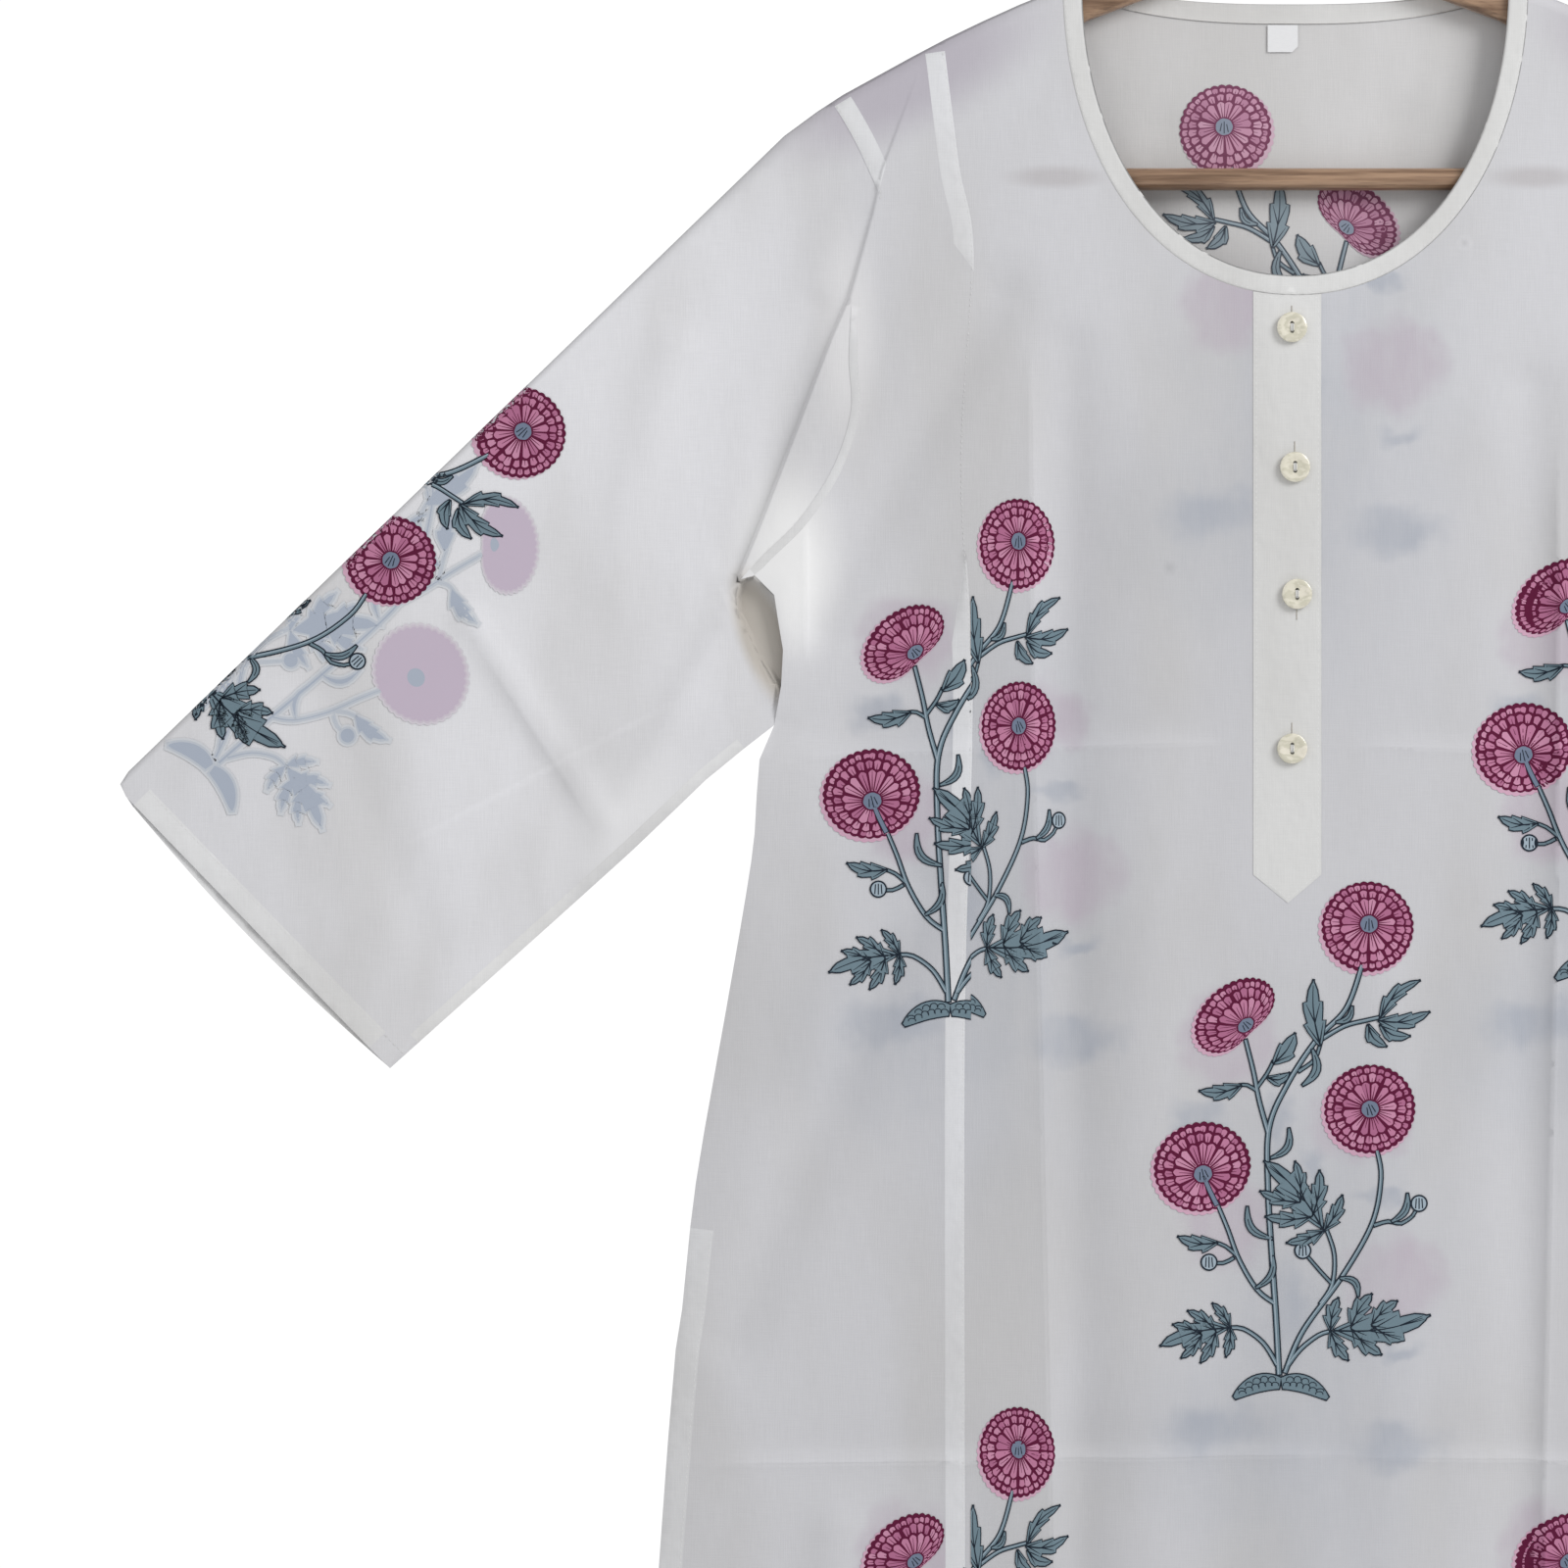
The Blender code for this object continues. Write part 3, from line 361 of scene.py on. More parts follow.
# Stalk, tip, half width, teeth, bend, level, depth of the teeth and their lean
LEAVES = [
    ((40, 346), (33, 412), 12, 3, 0.05, 4, 0.4, 0.45),
    ((100, 374), (140, 412), 8, 3, 0.12, 4, 0.45, 0.6),
    ((98, 372), (150, 380), 9, 3, -0.10, 4, 0.4, 0.5),
    ((100, 368), (130, 356), 7, 2, -0.16, 4, 0.35, 0.4),
    ((88, 368), (106, 346), 7, 2, -0.16, 4, 0.35, 0.4),
    ((-40, 306), (-82, 300), 9, 3, 0.10, 4, 0.4, 0.5),
    ((-8, 328), (14, 358), 10, 2, -0.08, 4, 0.35, 0.4),
    ((-14, 314), (8, 318), 6, 2, -0.2, 4, 0.3, 0.4),
    ((-64, 146), (-104, 152), 9, 3, 0.10, 4, 0.4, 0.5),
]
HOOK_POINTS = 9
HOOK_ENDS = (0.04, 0.97)
HOOK_FULLNESS = 0.7
HOOK_LEVEL = 3
HOOK_RIB = 0.45
# Foot, tip, bend and half width
HOOKS = [
    ((32, 342), (22, 306), 0.25, 3.6),
    ((-10, 232), (8, 262), -0.25, 3.0),
    ((-9, 150), (-34, 182), 0.25, 3.2),
    ((60, 110), (78, 92), 0.3, 2.8),
    ((112, 168), (128, 196), -0.2, 3.0),
    ((-25, 100), (-8, 132), -0.2, 2.8),
    ((72, 386), (56, 370), 0.25, 2.6),
]
BUD_ELBOW = (2, -3)
BUD_STALK = 1.1
BUD_LEVEL = 3
BUD_RIM = 1.12
BUD_FACE = 0.9
BUD_STRIPES = (-0.45, 0.0, 0.45)
BUD_STRIPE_REACH = 0.7
BUD_STRIPE_DRAW = 0.8
BUD_STRIPE_HALF = 0.6
# Foot, middle and radius
BUDS = [
    ((52, 104), (22, 138), 8),
    ((122, 166), (140, 186), 8),
    ((-48, 130), (-73, 126), 8),
]
MOUND_POINTS = 12
MOUND_LEVEL = 1
MOUND_FROM = 1
MOUND_LENGTH = 46
MOUND_FOOT = 3
MOUND_ARCH = 3
MOUND_DROP = 15
MOUND_HALF = 8.5
MOUND_SWELL = (0.16, 0.82)
MOUND_FULLNESS = 0.6
# How far above the mound's middle each row of scales is, in half widths, and how many it has
SCALE_ROWS = ((-0.35, 6), (0.35, 5))
SCALE_FIRST = 0.75
SCALE_SHIFT = 0.3
SCALE_TURN = (200, -20)
SCALE_POINTS = 6
SCALE_WIDE = 3.9
SCALE_TALL = 0.42
SCALE_LINE = 0.5

# Where the plants stand: on the front's middle, across its seams (with the side's sign), and on the back
PRINT_FEET_FRONT = [(-7.5, -826.0), (-7.5, -1291.0)]
PRINT_FEET_SEAM = [(-175.5, -636.5, -1), (-175.5, -1098.0, -1), (156.0, -613.0, 1), (156.0, -1098.0, 1)]
PRINT_FEET_BACK = [
    (10.0, -418.5), (10.0, -883.5), (10.0, -1348.5), (-153.5, -677.5), (-153.5, -1142.5),
    (173.5, -677.5), (173.5, -1142.5),
]
# The seam that cuts a plant, how far the part beyond it has slipped, and how much narrower it is there
SEAM_CUT = 165.0
SEAM_SLIP = (-2.0, 5.0)
SEAM_NARROW = {-1: 0.82, 1: 0.92}
# On the sleeves: the way the plant grows, how far up its foot is, and how far it stands from the fold
SLEEVE_UP = (0.718, 0.696)
SLEEVE_FOOT_UP = 39.5
SLEEVE_FOOT_CUT = 12.0
SLEEVE_FOOT_IN = {"left": -28.5, "right": 20.0}

# The other face's plant, in three soft steps: each step's level and how far its shapes grow
GHOST_LEVELS = {"": -1, "_edge": -1.6, "_haze": -2.2}
GHOST_EYE = 9
GHOST_EYE_RISE = 0.6
GHOST_STEPS = 5
GHOST_STEP = 0.1
GHOST_GROWS = {"": -1.0, "_edge": 1.2, "_haze": 3.4}
GHOST_COLUMNS = ("x", "z", "flip", "across", "down", "top")
# Ellipses of the plant that shows through: middle, half width and half height, in half millimetres
GHOST_FLOWERS = [(88, 467, 46, 45), (90, 282, 45, 44), (-80, 223, 48, 44), (-44, 384, 46, 36)]
GHOST_LEAVES = [
    (-84, 54, 44, 21), (100, 72, 48, 22), (24, 190, 22, 40), (38, 380, 11, 30), (122, 388, 24, 15),
    (-66, 306, 20, 8), (2, 346, 12, 18), (-86, 152, 20, 8),
]
GHOST_HAZE = [(0, 200, 105, 250), (50, 60, 120, 90)]
# Each kind's ellipses, and how softly they end
GHOST_SHAPES = {"Flowers": (GHOST_FLOWERS, 0.34), "Leaves": (GHOST_LEAVES, 0.65), "Haze": (GHOST_HAZE, 0.9)}
# The share of each repeat that lies below the plant's foot, so that the haze fades out inside the repeat
GHOST_BELOW = 0.28
# The height over which the topmost plants fade out
GHOST_TOP_FADE = 8.0
GHOSTS_ON_FRONT = [
    (10.0, -418.5, -1, 900.0, 465.0, -172.0),
    (173.5, -677.5, -1, 327.0, 465.0, -430.0),
]
GHOSTS_ON_BACK = [
    (-7.5, -826.0, 1, 900.0, 465.0, -590.0),
    (156.0, -636.5, 1, 327.0, 463.0, -390.0),
]
# Painted light and shade on the front of the cloth, one on each side of the tunic, in the columns named next.
# The first two are painted shade where the hanger's arm and its bar lie behind it. The others are painted
# light, with the brighter tone of cloth lying in several layers, where it catches the light at the laps
PAINTED_MARK_COLUMNS = ("x", "z", "across", "up", "lean", "share", "soft", "ink")
ARM_SHADOWS = [
    (196.0, -161.0, 62.0, 22.0, -27.0, 0.7, 0.6, (188, 181, 193)),
    (122.0, -211.5, 20.0, 5.0, 0.0, 0.4, 0.6, (176, 168, 168)),
]
LAP_LIGHTS = [
    (258.0, -408.0, 22.0, 40.0, 0.0, 0.9, 0.6, (255, 255, 255)),
    (338.0, -542.0, 36.0, 24.0, -43.0, 0.6, 0.8, (253, 253, 255)),
    (228.0, -290.0, 13.0, 44.0, 0.0, 0.5, 0.7, (250, 249, 250)),
]
# The painted shade in the hollow under the left arm
HOLLOW_SHADE = (-270.0, -446.0, 12.0, 34.0, 20.0, 0.8, 0.3, (196, 188, 176))

# Each noise's stretch along X, Y and Z, its scale, detail and roughness
NOISES = {
    "warp": ((2400.0, 1.0, 70.0), 1.0),
    "weft": ((80.0, 1.0, 2300.0), 1.0),
    "tone": ((1.0, 1.0, 0.4), 11.0, 3.0, 0.55),
    "crumple": ((1.0, 1.0, 0.55), 26.0, 3.0, 0.55),
    "fine": ((1.0, 1.0, 1.0), 90.0),
    "puckers": ((1.0, 1.0, 1.0), 130.0, 1.0),
    "haze": ((1.0, 1.0, 0.25), 60.0, 3.0, 0.6),
    "wood_grain": ((12.0, 260.0, 260.0), 1.0, 4.0, 0.6),
    "wood_pores": ((60.0, 1400.0, 1400.0), 1.0),
    "pearl": ((90.0, 90.0, 160.0), 1.0, 3.0, 0.55),
    "drawn_steel": ((900.0, 900.0, 40.0), 1.0),
    "tape_ribs": ((300.0, 1.0, 3000.0), 1.0),
}
# Soft ramps: from, to, and the values there. Those of the cloth's parts are over heights and outs in metres
RAMPS = {
    "haze": (0.25, 0.75, 0.55, 1.0),
    "chest_height": (-0.66, -0.42, 0.3, 1.0),
    "past_body": (0.35, 0.38),
    "body_side": (0.16, 0.32),
    "towards_cuff": (0.4, 0.56, 1.0, 0.7),
    "upper_chest": (-0.48, -0.24, 0.0, 0.22),
    "mottle": (0.35, 0.7, 0.0, 0.4),
    "yarns": (0.3, 0.7, 0.1, 0.0),
    "wood_grain": (0.3, 0.72),
    "wood_pores": (0.58, 0.75, 0.0, 0.5),
    "pearl_bands": (-0.9, 0.9),
    "pearl_glow": (0.52, 0.7, 0.0, 0.6),
    "drawn_steel": (0.2, 0.8, 0.2, 0.38),
}
# Strength and distance
BUMPS = {
    "cotton": (0.5, 0.0022),
    "doubled": (0.45, 0.0016),
    "wood": (0.25, 0.0004),
    "pearl": (0.12, 0.0003),
    "tape": (0.2, 0.0004),
}
SLUB_SHARES = (0.6, 0.4)
# How much of the crumples, the fine unevenness, the yarns and the puckers there is in the cloth's height
CRUMPLE_SHARE = 0.75
FINE_SHARE = 0.16
SLUB_SHARE = 0.1
PUCKER_SHARE = 0.6
PEARL_BANDS = 26.0
COTTON = (218, 218, 222)
# The back's cotton is painted a little brighter and warmer than the front's: painted light that comes through
# it from behind
COTTON_BACK_WITH_PAINTED_LIGHT = (222, 221, 221)
# The tint the cotton is painted towards on the sleeves and the chest: painted light, where a single layer
# lets light through
COTTON_PAINTED_LIGHT = (245, 245, 249)
COTTON_SHADE = (201, 199, 196)
YARN_SHADE = (150, 150, 152)
COTTON_DOUBLE = (236, 237, 241)
BRIGHTEST_DOUBLE = 250
COTTON_BINDING = (233, 233, 232)
THREAD = (240, 240, 239)
# The painted shade in each buttonhole's slit
HOLE_SHADE = (186, 181, 173)
GHOST_PINK = (197, 184, 197)
GHOST_GREY = (176, 182, 194)
GHOST_DRIFT = 0.024
GHOST_DRIFT_SCALE = 55.0
GHOST_SHARES = [("Haze", GHOST_GREY, 0.38), ("Flowers", GHOST_PINK, 0.7), ("Leaves", GHOST_GREY, 0.75)]
WOOD = (140, 92, 60)
WOOD_DARK = (118, 90, 68)
WOOD_LIGHT = (186, 152, 124)
WOOD_PORE = (84, 60, 46)
PEARL = (236, 231, 212)
PEARL_LIGHT = (243, 238, 220)
PEARL_DARK = (222, 218, 198)
PEARL_GLOW = (250, 243, 228)
STEEL = (196, 196, 198)
TAPE = (244, 245, 246)
TAPE_DARK = (236, 237, 240)
TAPE_LIGHT = (250, 250, 251)
INKS = {
    "halo": (218, 176, 198),
    "pink": (200, 132, 165),
    "pink_deep": (184, 114, 149),
    "pink_light": (210, 148, 178),
    "maroon": (98, 26, 60),
    "teal": (120, 141, 152),
    "teal_light": (170, 186, 198),
    "outline": (34, 44, 56),
    "eye": (122, 134, 156),
    "leaf_ghost": (183, 192, 207),
    "leaf_ghost_edge": (204, 210, 219),
    "leaf_ghost_haze": (220, 223, 228),
    "flower_ghost": (209, 195, 212),
    "flower_ghost_edge": (217, 207, 219),
    "flower_ghost_haze": (225, 219, 227),
}

PANEL_BAND = 10.0
PANEL_BAND_FROM = (-145.0, -262.0, -397.0)
ARMHOLE_BAND = 9.6
ARMHOLE_BAND_TO = (-226.0, -207.0)
LOW_SEAM_BAND = 4.5
LOW_SEAM_FROM = -275.0
BAND_TAPER = 16.0
LOW_BAND_TAPER = 48.0
# How far a band reaches past the edge it lies along, and how far it stays off a corner of the hem
BAND_OVER = 0.6
HEM_CLEAR = 1
BAND_BELOW_TOP = 1.5
LOW_SEAM_ABOVE_FOOT = 4
SLIT_BAND = 12.0
SLIT_TOP = -745.0
SLIT_ABOVE_HEM = 2
CUFF_BAND = 11.5
CUFF_BAND_STOP = 3
CUFF_CORNER_POINTS = 3
CUFF_ROWS = (5.0, 16.0, 21.0)
HEM_BAND = 12.0
UNDERARM_BAND = 6.0
UNDERARM_BAND_ENDS = (12, 14)
BAND_RISE = 0.22
BAND_ROUND = 0.7
PLACKET_RISE = 0.6
PLACKET_ROUND = 1.3
PRESSED_EDGE = 0.4
PLACKET_STEP = 2.4
PLACKET_TOP_POINTS = 8
PLACKET_THICK = 0.6
PLACKET_STITCH_IN = 1.6
BINDING_RISE = 0.55
BINDING_ROUND = 2.0
BINDING_STEP = 2.5
BINDING_THICK = 1.2
BINDING_ROW_IN = 0.8
BINDING_STITCH_IN = 1.3
BINDING_STITCH_SHARE = 0.9
# How far each row of stitches is from its band's edge or from its seam, and where the panel seam's rows run
STITCH_IN = 1.2
SEAM_STITCH_IN = 0.9
ARMHOLE_STITCH_IN = 1.1
ARMHOLE_STITCH_BELOW_TOP = 2
LOW_SEAM_STITCH_IN = 0.7
SEAM_STITCHES = ((-146, -262), (-262, HEM_MIDDLE + HEM_BAND))
STITCH = 2.0
STITCH_PITCH = 2.9
STITCH_HALF = 0.2
STITCH_RISE = 0.14
# The share of its length that a stitch is at its full height over, and its triangles
STITCH_TOP = 0.55
STITCH_FACES = [(0, 3, 4), (3, 5, 4), (3, 2, 5), (2, 1, 5), (1, 4, 5), (1, 0, 4)]

BUTTON_THICK = 2.6
BUTTON_DISH = 0.62
# Shares of the radius and of half the thickness, from the face's middle round to the back's
BUTTON_PROFILE = [
    (0.0, -BUTTON_DISH), (0.42, -0.64), (0.58, -0.78), (0.72, -1.0), (0.9, -1.0), (0.985, -0.72),
    (1.0, -0.3), (0.97, 0.5), (0.86, 0.95), (0.0, 1.0),
]
BUTTON_TURNS = 48
BUTTON_HOLE = 1.05
BUTTON_HOLE_SIDES = 20
BUTTON_SHARP = 35
BUTTON_SPREAD = 4.0
BUTTON_GAP = 0.5
# The threads through a button: where each lies, how far they spread over its face, and how proud they stand
THREAD_PLACES = (-0.5, 0.0, 0.5)
THREAD_SPREAD = (1.2, 1.4)
THREAD_PROUD = (0.1, 0.45)
THREAD_IN = 0.15
THREAD_OUT = 0.8
THREAD_RADIUS = 0.24
# The button, and how far above it its buttonhole's middle lies
BUTTONHOLES = [(0, 6.5), (1, 8.5), (2, -8.5), (3, 8.5)]
HOLE_LENGTH = 4.6
HOLE_ROW = 0.75
CUT_POINTS = 7
CUT_RISE = 0.02
CUT_RADIUS = 0.3

TAB_LIFT = 1.1
TAB_STEP = 3.0
TAB_THICK = 0.3

SIDE_NAMES = {"left": -1, "right": 1}

# ---------------------------------------------------------------- stage
CAMERA_PLACE = (-0.26, -2.4, -0.52)
CAMERA_LENS = 108.0
CAMERA_SENSOR = 36.0
FLOOR_HEIGHT = -1.3
FLOOR_HALF = 1.5
FLOOR_TINT = (240, 240, 240)
FLOOR_ROUGHNESS = 0.9
SURROUND_LIGHT = 0.44
SURROUND_SEEN = 1.05
# Name, place, size and power
LAMPS = [
    ("key", (1.8, -1.7, 0.9), 1.3, 40.0),
    ("fill", (-1.9, -2.0, 0.2), 2.0, 8.0),
]
LAMP_AIM = (-0.1, 0.0, -0.55)


# ---------------------------------------------------------------- paths and depths, as in the solids


def spaced(points, step):
    """The same polyline with no stretch longer than step."""
    out = [tuple(points[0])]
    for a, b in zip(points, points[1:]):
        parts = max(1, math.ceil(math.dist(a, b) / step))
        for i in range(1, parts + 1):
            t = i / parts
            out.append((a[0] + (b[0] - a[0]) * t, a[1] + (b[1] - a[1]) * t))
    return out


def curved(points, step):
    """A smooth curve through the points (Catmull-Rom), as a polyline of about step long stretches."""
    ends = [points[0], *points, points[-1]]
    out = [tuple(points[0])]
    for a, b, c, d in zip(ends, ends[1:], ends[2:], ends[3:]):
        parts = max(1, math.ceil(math.dist(b, c) / step))
        for i in range(1, parts + 1):
            t = i / parts
            shares = (
                (-t + 2 * t**2 - t**3) / 2,
                (2 - 5 * t**2 + 3 * t**3) / 2,
                (t + 4 * t**2 - 3 * t**3) / 2,
                (-(t**2) + t**3) / 2,
            )
            out.append(tuple(sum(w * q for w, q in zip(shares, places)) for places in zip(a, b, c, d)))
    return out


def to_side(path, side):
    return [(side * x, z) for x, z in path]


def nearest(path, where):
    """For each point: its distance to the path, its signed distance (positive on the right of the path as
    drawn on a page), and how far along the path, in corners, the nearest place lies."""
    path = np.array(path, float)
    a, b = path[:-1], path[1:]
    run = b - a
    best = np.full(len(where), np.inf)
    sign = np.ones(len(where))
    along = np.zeros(len(where))
    for i in range(len(a)):
        off = where - a[i]
        t = np.clip(off @ run[i] / max(run[i] @ run[i], NEAR_ZERO), 0, 1)
        gap = off - t[:, None] * run[i]
        d = np.hypot(gap[:, 0], gap[:, 1])
        closer = d < best - SHORTEST_RUN
        best = np.where(closer, d, best)
        turn = off[:, 0] * run[i][1] - off[:, 1] * run[i][0]
        sign = np.where(closer, np.sign(turn), sign)
        along = np.where(closer, i + t, along)
    return best, best * sign, along


def smooth_step(t):
    t = np.clip(t, 0, 1)
    return t * t * (3 - 2 * t)


def top_height(out):
    return NECK_TOP + HANGER_SLOPE * (NECK_HALF - np.hypot(out, HANGER_PEAK_BLUNT))


def hem_height(x):
    return HEM_MIDDLE + (SIDE[-1][1] - HEM_MIDDLE) * (abs(x) / SIDE[-1][0]) ** 2


def neck_place(reach, turn):
    power = 2 / NECK_ROUND
    return (
        (NECK_HALF + reach) * max(math.cos(turn), 0.0) ** power,
        NECK_TOP - (NECK_DEPTH + reach) * math.sin(turn) ** power,
    )


def neck_height_at(x):
    """The height of the binding's outer edge."""
    share = min(abs(x) / (NECK_HALF + BINDING_WIDTH), 1.0)
    return NECK_TOP - (NECK_DEPTH + BINDING_WIDTH) * (1 - share**NECK_ROUND) ** (1 / NECK_ROUND)


def top_at(out):
    return float(np.interp(out, *zip(*TOP_PATH)))


def neck_curve(reach):
    """The front neckline from the shoulder down to its middle, "reach" outside the binding's inner edge."""
    start = 0.0
    while True:
        out, height = neck_place(reach, start)
        if height < top_at(out) + ON_EDGE:
            break
        start += NECK_TURN_STEP
    points = [neck_place(reach, turn) for turn in np.linspace(start, math.pi / 2, NECK_POINTS)]
    points[0] = (points[0][0], top_at(points[0][0]))
    return resampled(points, EDGE_STEP)


def back_neck_curve(reach):
    half = NECK_HALF + reach
    low, high = NECK_TOP - BACK_NECK_DIP - reach, top_at(half)
    shares = 1 - np.linspace(0, 1, BACK_NECK_POINTS)
    return resampled([(half * s, low + (high - low) * s**BACK_NECK_ROUND) for s in shares], EDGE_STEP)


def resampled(points, step):
    """Points about step apart along the polyline, its ends kept."""
    places = np.array(points, float)
    lengths = np.concatenate([[0], np.cumsum(np.hypot(*np.diff(places, axis=0).T))])
    at = np.linspace(0, lengths[-1], max(2, round(lengths[-1] / step) + 1))
    return list(zip(np.interp(at, lengths, places[:, 0]), np.interp(at, lengths, places[:, 1])))


def from_top(points):
    start = (points[0][0], top_at(points[0][0]))
    return curved([start, *points[1:]], EDGE_STEP)


TOP_PATH = curved(SHOULDER, EDGE_CURVE_STEP)[:-1] + spaced([SHOULDER[-1], CUFF_TOP], EDGE_CURVE_STEP)
RIDGE_OUTS = np.linspace(0, NECK_HALF - RIDGE_STOP, RIDGE_POINTS)
RIDGE_PATH = [(float(x), float(top_height(x))) for x in RIDGE_OUTS] + TOP_PATH
UNDER_PATH = list(reversed(curved(SLEEVE_UNDER, EDGE_CURVE_STEP))) + curved(SIDE, EDGE_CURVE_STEP)[1:]
SEAM_PATH = from_top(PANEL_SEAM)
FRONT_ARMHOLE_PATH = [
    *from_top(FRONT_ARMHOLE),
    *curved(ARMHOLE_UNDER_FOLD, EDGE_STEP)[1:],
    *curved(FRONT_ARMHOLE_LOW, EDGE_STEP)[1:],
]
BACK_ARMHOLE_PATH = from_top(BACK_ARMHOLE)
HOLLOW_EDGE = spaced(UNDERARM_HOLLOW, EDGE_STEP)
DRAG_PATH = [(out, height) for out, height, rise in DRAG_EDGE] + UNDERARM_HOLLOW[1:]
DRAG_RISES = [rise for out, height, rise in DRAG_EDGE] + HOLLOW_RISES


def sleeve_share(out, height):
    lean = (UNDERARM[0] - ARMHOLE_TOP[0]) / (ARMHOLE_TOP[1] - UNDERARM[1])
    line = ARMHOLE_TOP[0] + (ARMHOLE_TOP[1] - height) * lean
    return smooth_step((out - line) / SLEEVE_EASE)


def folds_at(table, where):
    total = np.zeros(len(where))
    for row in table:
        fold = dict(zip(FOLD_COLUMNS, row))
        d = nearest([(fold["x0"], fold["z0"]), (fold["x1"], fold["z1"])], where)[0]
        total += fold["depth"] * np.exp(-((d / fold["half_width"]) ** 2))
    return total


def drag_rise(where):
    """How far the body's cloth is raised where it laps over the sleeve."""
    far, _, along = nearest(DRAG_PATH, where)
    rise = np.interp(along, range(len(DRAG_RISES)), DRAG_RISES)
    outs, heights = np.array(DRAG_PATH).T
    side = np.where(where[:, 0] < np.interp(-where[:, 1], np.maximum.accumulate(-heights), outs), -far, far)
    return rise * smooth_step(1 - (side - DRAG_LIP) / DRAG_RAMP) * np.exp(np.minimum(side, 0) / DRAG_EASE)


def hollow_depth(out, height):
    across = (out - HOLLOW["out"]) / HOLLOW["half_width"]
    up = (height - HOLLOW["height"]) / HOLLOW["half_height"]
    return HOLLOW["depth"] * np.exp(-(across**2) - up**2)


def crease_ends(crease):
    return [(crease["x0"], crease["z0"]), (crease["x1"], crease["z1"])]


def creases_at(table, where):
    """Pressed creases: a narrow ridge with a steeper dip on its right, fading at both ends."""
    total = np.zeros(len(where))
    for row in table:
        crease = dict(zip(CREASE_COLUMNS, row))
        path = crease_ends(crease)
        side = nearest(path, where)[1]
        length = math.dist(*path)
        off = where - np.array(path[0])
        run = (np.array(path[1]) - np.array(path[0])) / length
        t = off @ run
        fade = smooth_step(t / crease["fade"]) * smooth_step((length - t) / crease["fade"])
        side = -side * crease["facing"]
        ridge = np.exp(-np.abs(side) / crease["ridge_width"])
        dip = np.clip(side, 0, None) / crease["dip_width"]
        total += fade * (crease["ridge"] * ridge - crease["dip"] * dip * np.exp(1 - dip))
    return total


def layer_gap(where, folds, creases, laps):
    """Distance of a layer from the hanger's plane."""
    height = where[:, 1]
    half = np.stack([np.abs(where[:, 0]), height], 1)
    below_top = nearest(RIDGE_PATH, half)[1]
    from_edge = nearest(UNDER_PATH, half)[0]
    sleeve = sleeve_share(half[:, 0], height)
    heights, gaps = zip(*BODY_GAPS[::-1])
    full = np.interp(height, heights, gaps) * (1 - sleeve) + SLEEVE_GAP * sleeve
    gap = EDGE_GAP + (full - EDGE_GAP) * (1 - np.exp(-from_edge / EDGE_EASE))
    inward = 1 - np.exp(-from_edge / FOLD_EDGE_EASE)
    gap += (folds_at(folds, where) + creases_at(creases, where)) * inward
    if laps:
        gap += drag_rise(half) - hollow_depth(*half.T)
    gap = np.maximum(gap, EDGE_GAP)
    turn = SHOULDER_ROUND * (1 - sleeve) + SLEEVE_ROUND * sleeve
    rounded = np.sqrt(1 - (1 - np.clip(below_top / turn, 0, 1)) ** 2)
    return TOP_GAP + (gap - TOP_GAP) * rounded


def front_depth(where, lift=0.0):
    return -layer_gap(where, FRONT_FOLDS, FRONT_CREASES, True) - lift


def sleeve_depth(where, lift=0.0):
    """The sleeve's front: below the armhole it passes under the body's cloth and opens in a hollow."""
    half = np.stack([np.abs(where[:, 0]), where[:, 1]], 1)
    gap = -front_depth(where)
    low = smooth_step((ARMHOLE_FOOT[1] + LAP_FROM - half[:, 1]) / LAP_EASE)
    gap -= drag_rise(half) * low
    from_rim = nearest(HOLLOW_RIM, half)[0]
    mouth = inside(HOLLOW_RIM + UNDERARM_HOLLOW[::-1], half) | (low > 0) & (drag_rise(half) > LEAST_LAP)
    sunk = gap + (HOLLOW_FLOOR - gap) * smooth_step(from_rim / HOLLOW_WALL)
    ridge = HOLLOW_RIDGE * np.exp(-((from_rim / HOLLOW_RIDGE_WIDTH) ** 2))
    return -np.where(mouth, sunk, gap + ridge) - lift


def back_depth(where, lift=0.0):
    return layer_gap(where, BACK_FOLDS, BACK_CREASES, False) + lift


def back_sleeve_depth(where, lift=0.0):
    """The back of a sleeve: its hem draws forward to the front one's."""
    half = np.stack([np.abs(where[:, 0]), where[:, 1]], 1)
    open_gap = back_depth(where)
    closed_gap = np.minimum(open_gap, front_depth(where) + CUFF_LAYERS)
    beyond = nearest([CUFF_BOTTOM, CUFF_TOP], half)[1]
    share = smooth_step(1 + (beyond - CUFF_CLOSED) / CUFF_CLOSING)
    return open_gap + (closed_gap - open_gap) * share + lift


# ---------------------------------------------------------------- from pattern to cloth


def inside(outline, where):
    points = np.array(outline, float)
    found = np.zeros(len(where), bool)
    for (x0, z0), (x1, z1) in zip(points, np.roll(points, -1, 0)):
        crosses = (z0 > where[:, 1]) != (z1 > where[:, 1])
        rise = z1 - z0 if z1 != z0 else NEAR_ZERO
        found ^= crosses & (where[:, 0] < (x1 - x0) * (where[:, 1] - z0) / rise + x0)
    return found


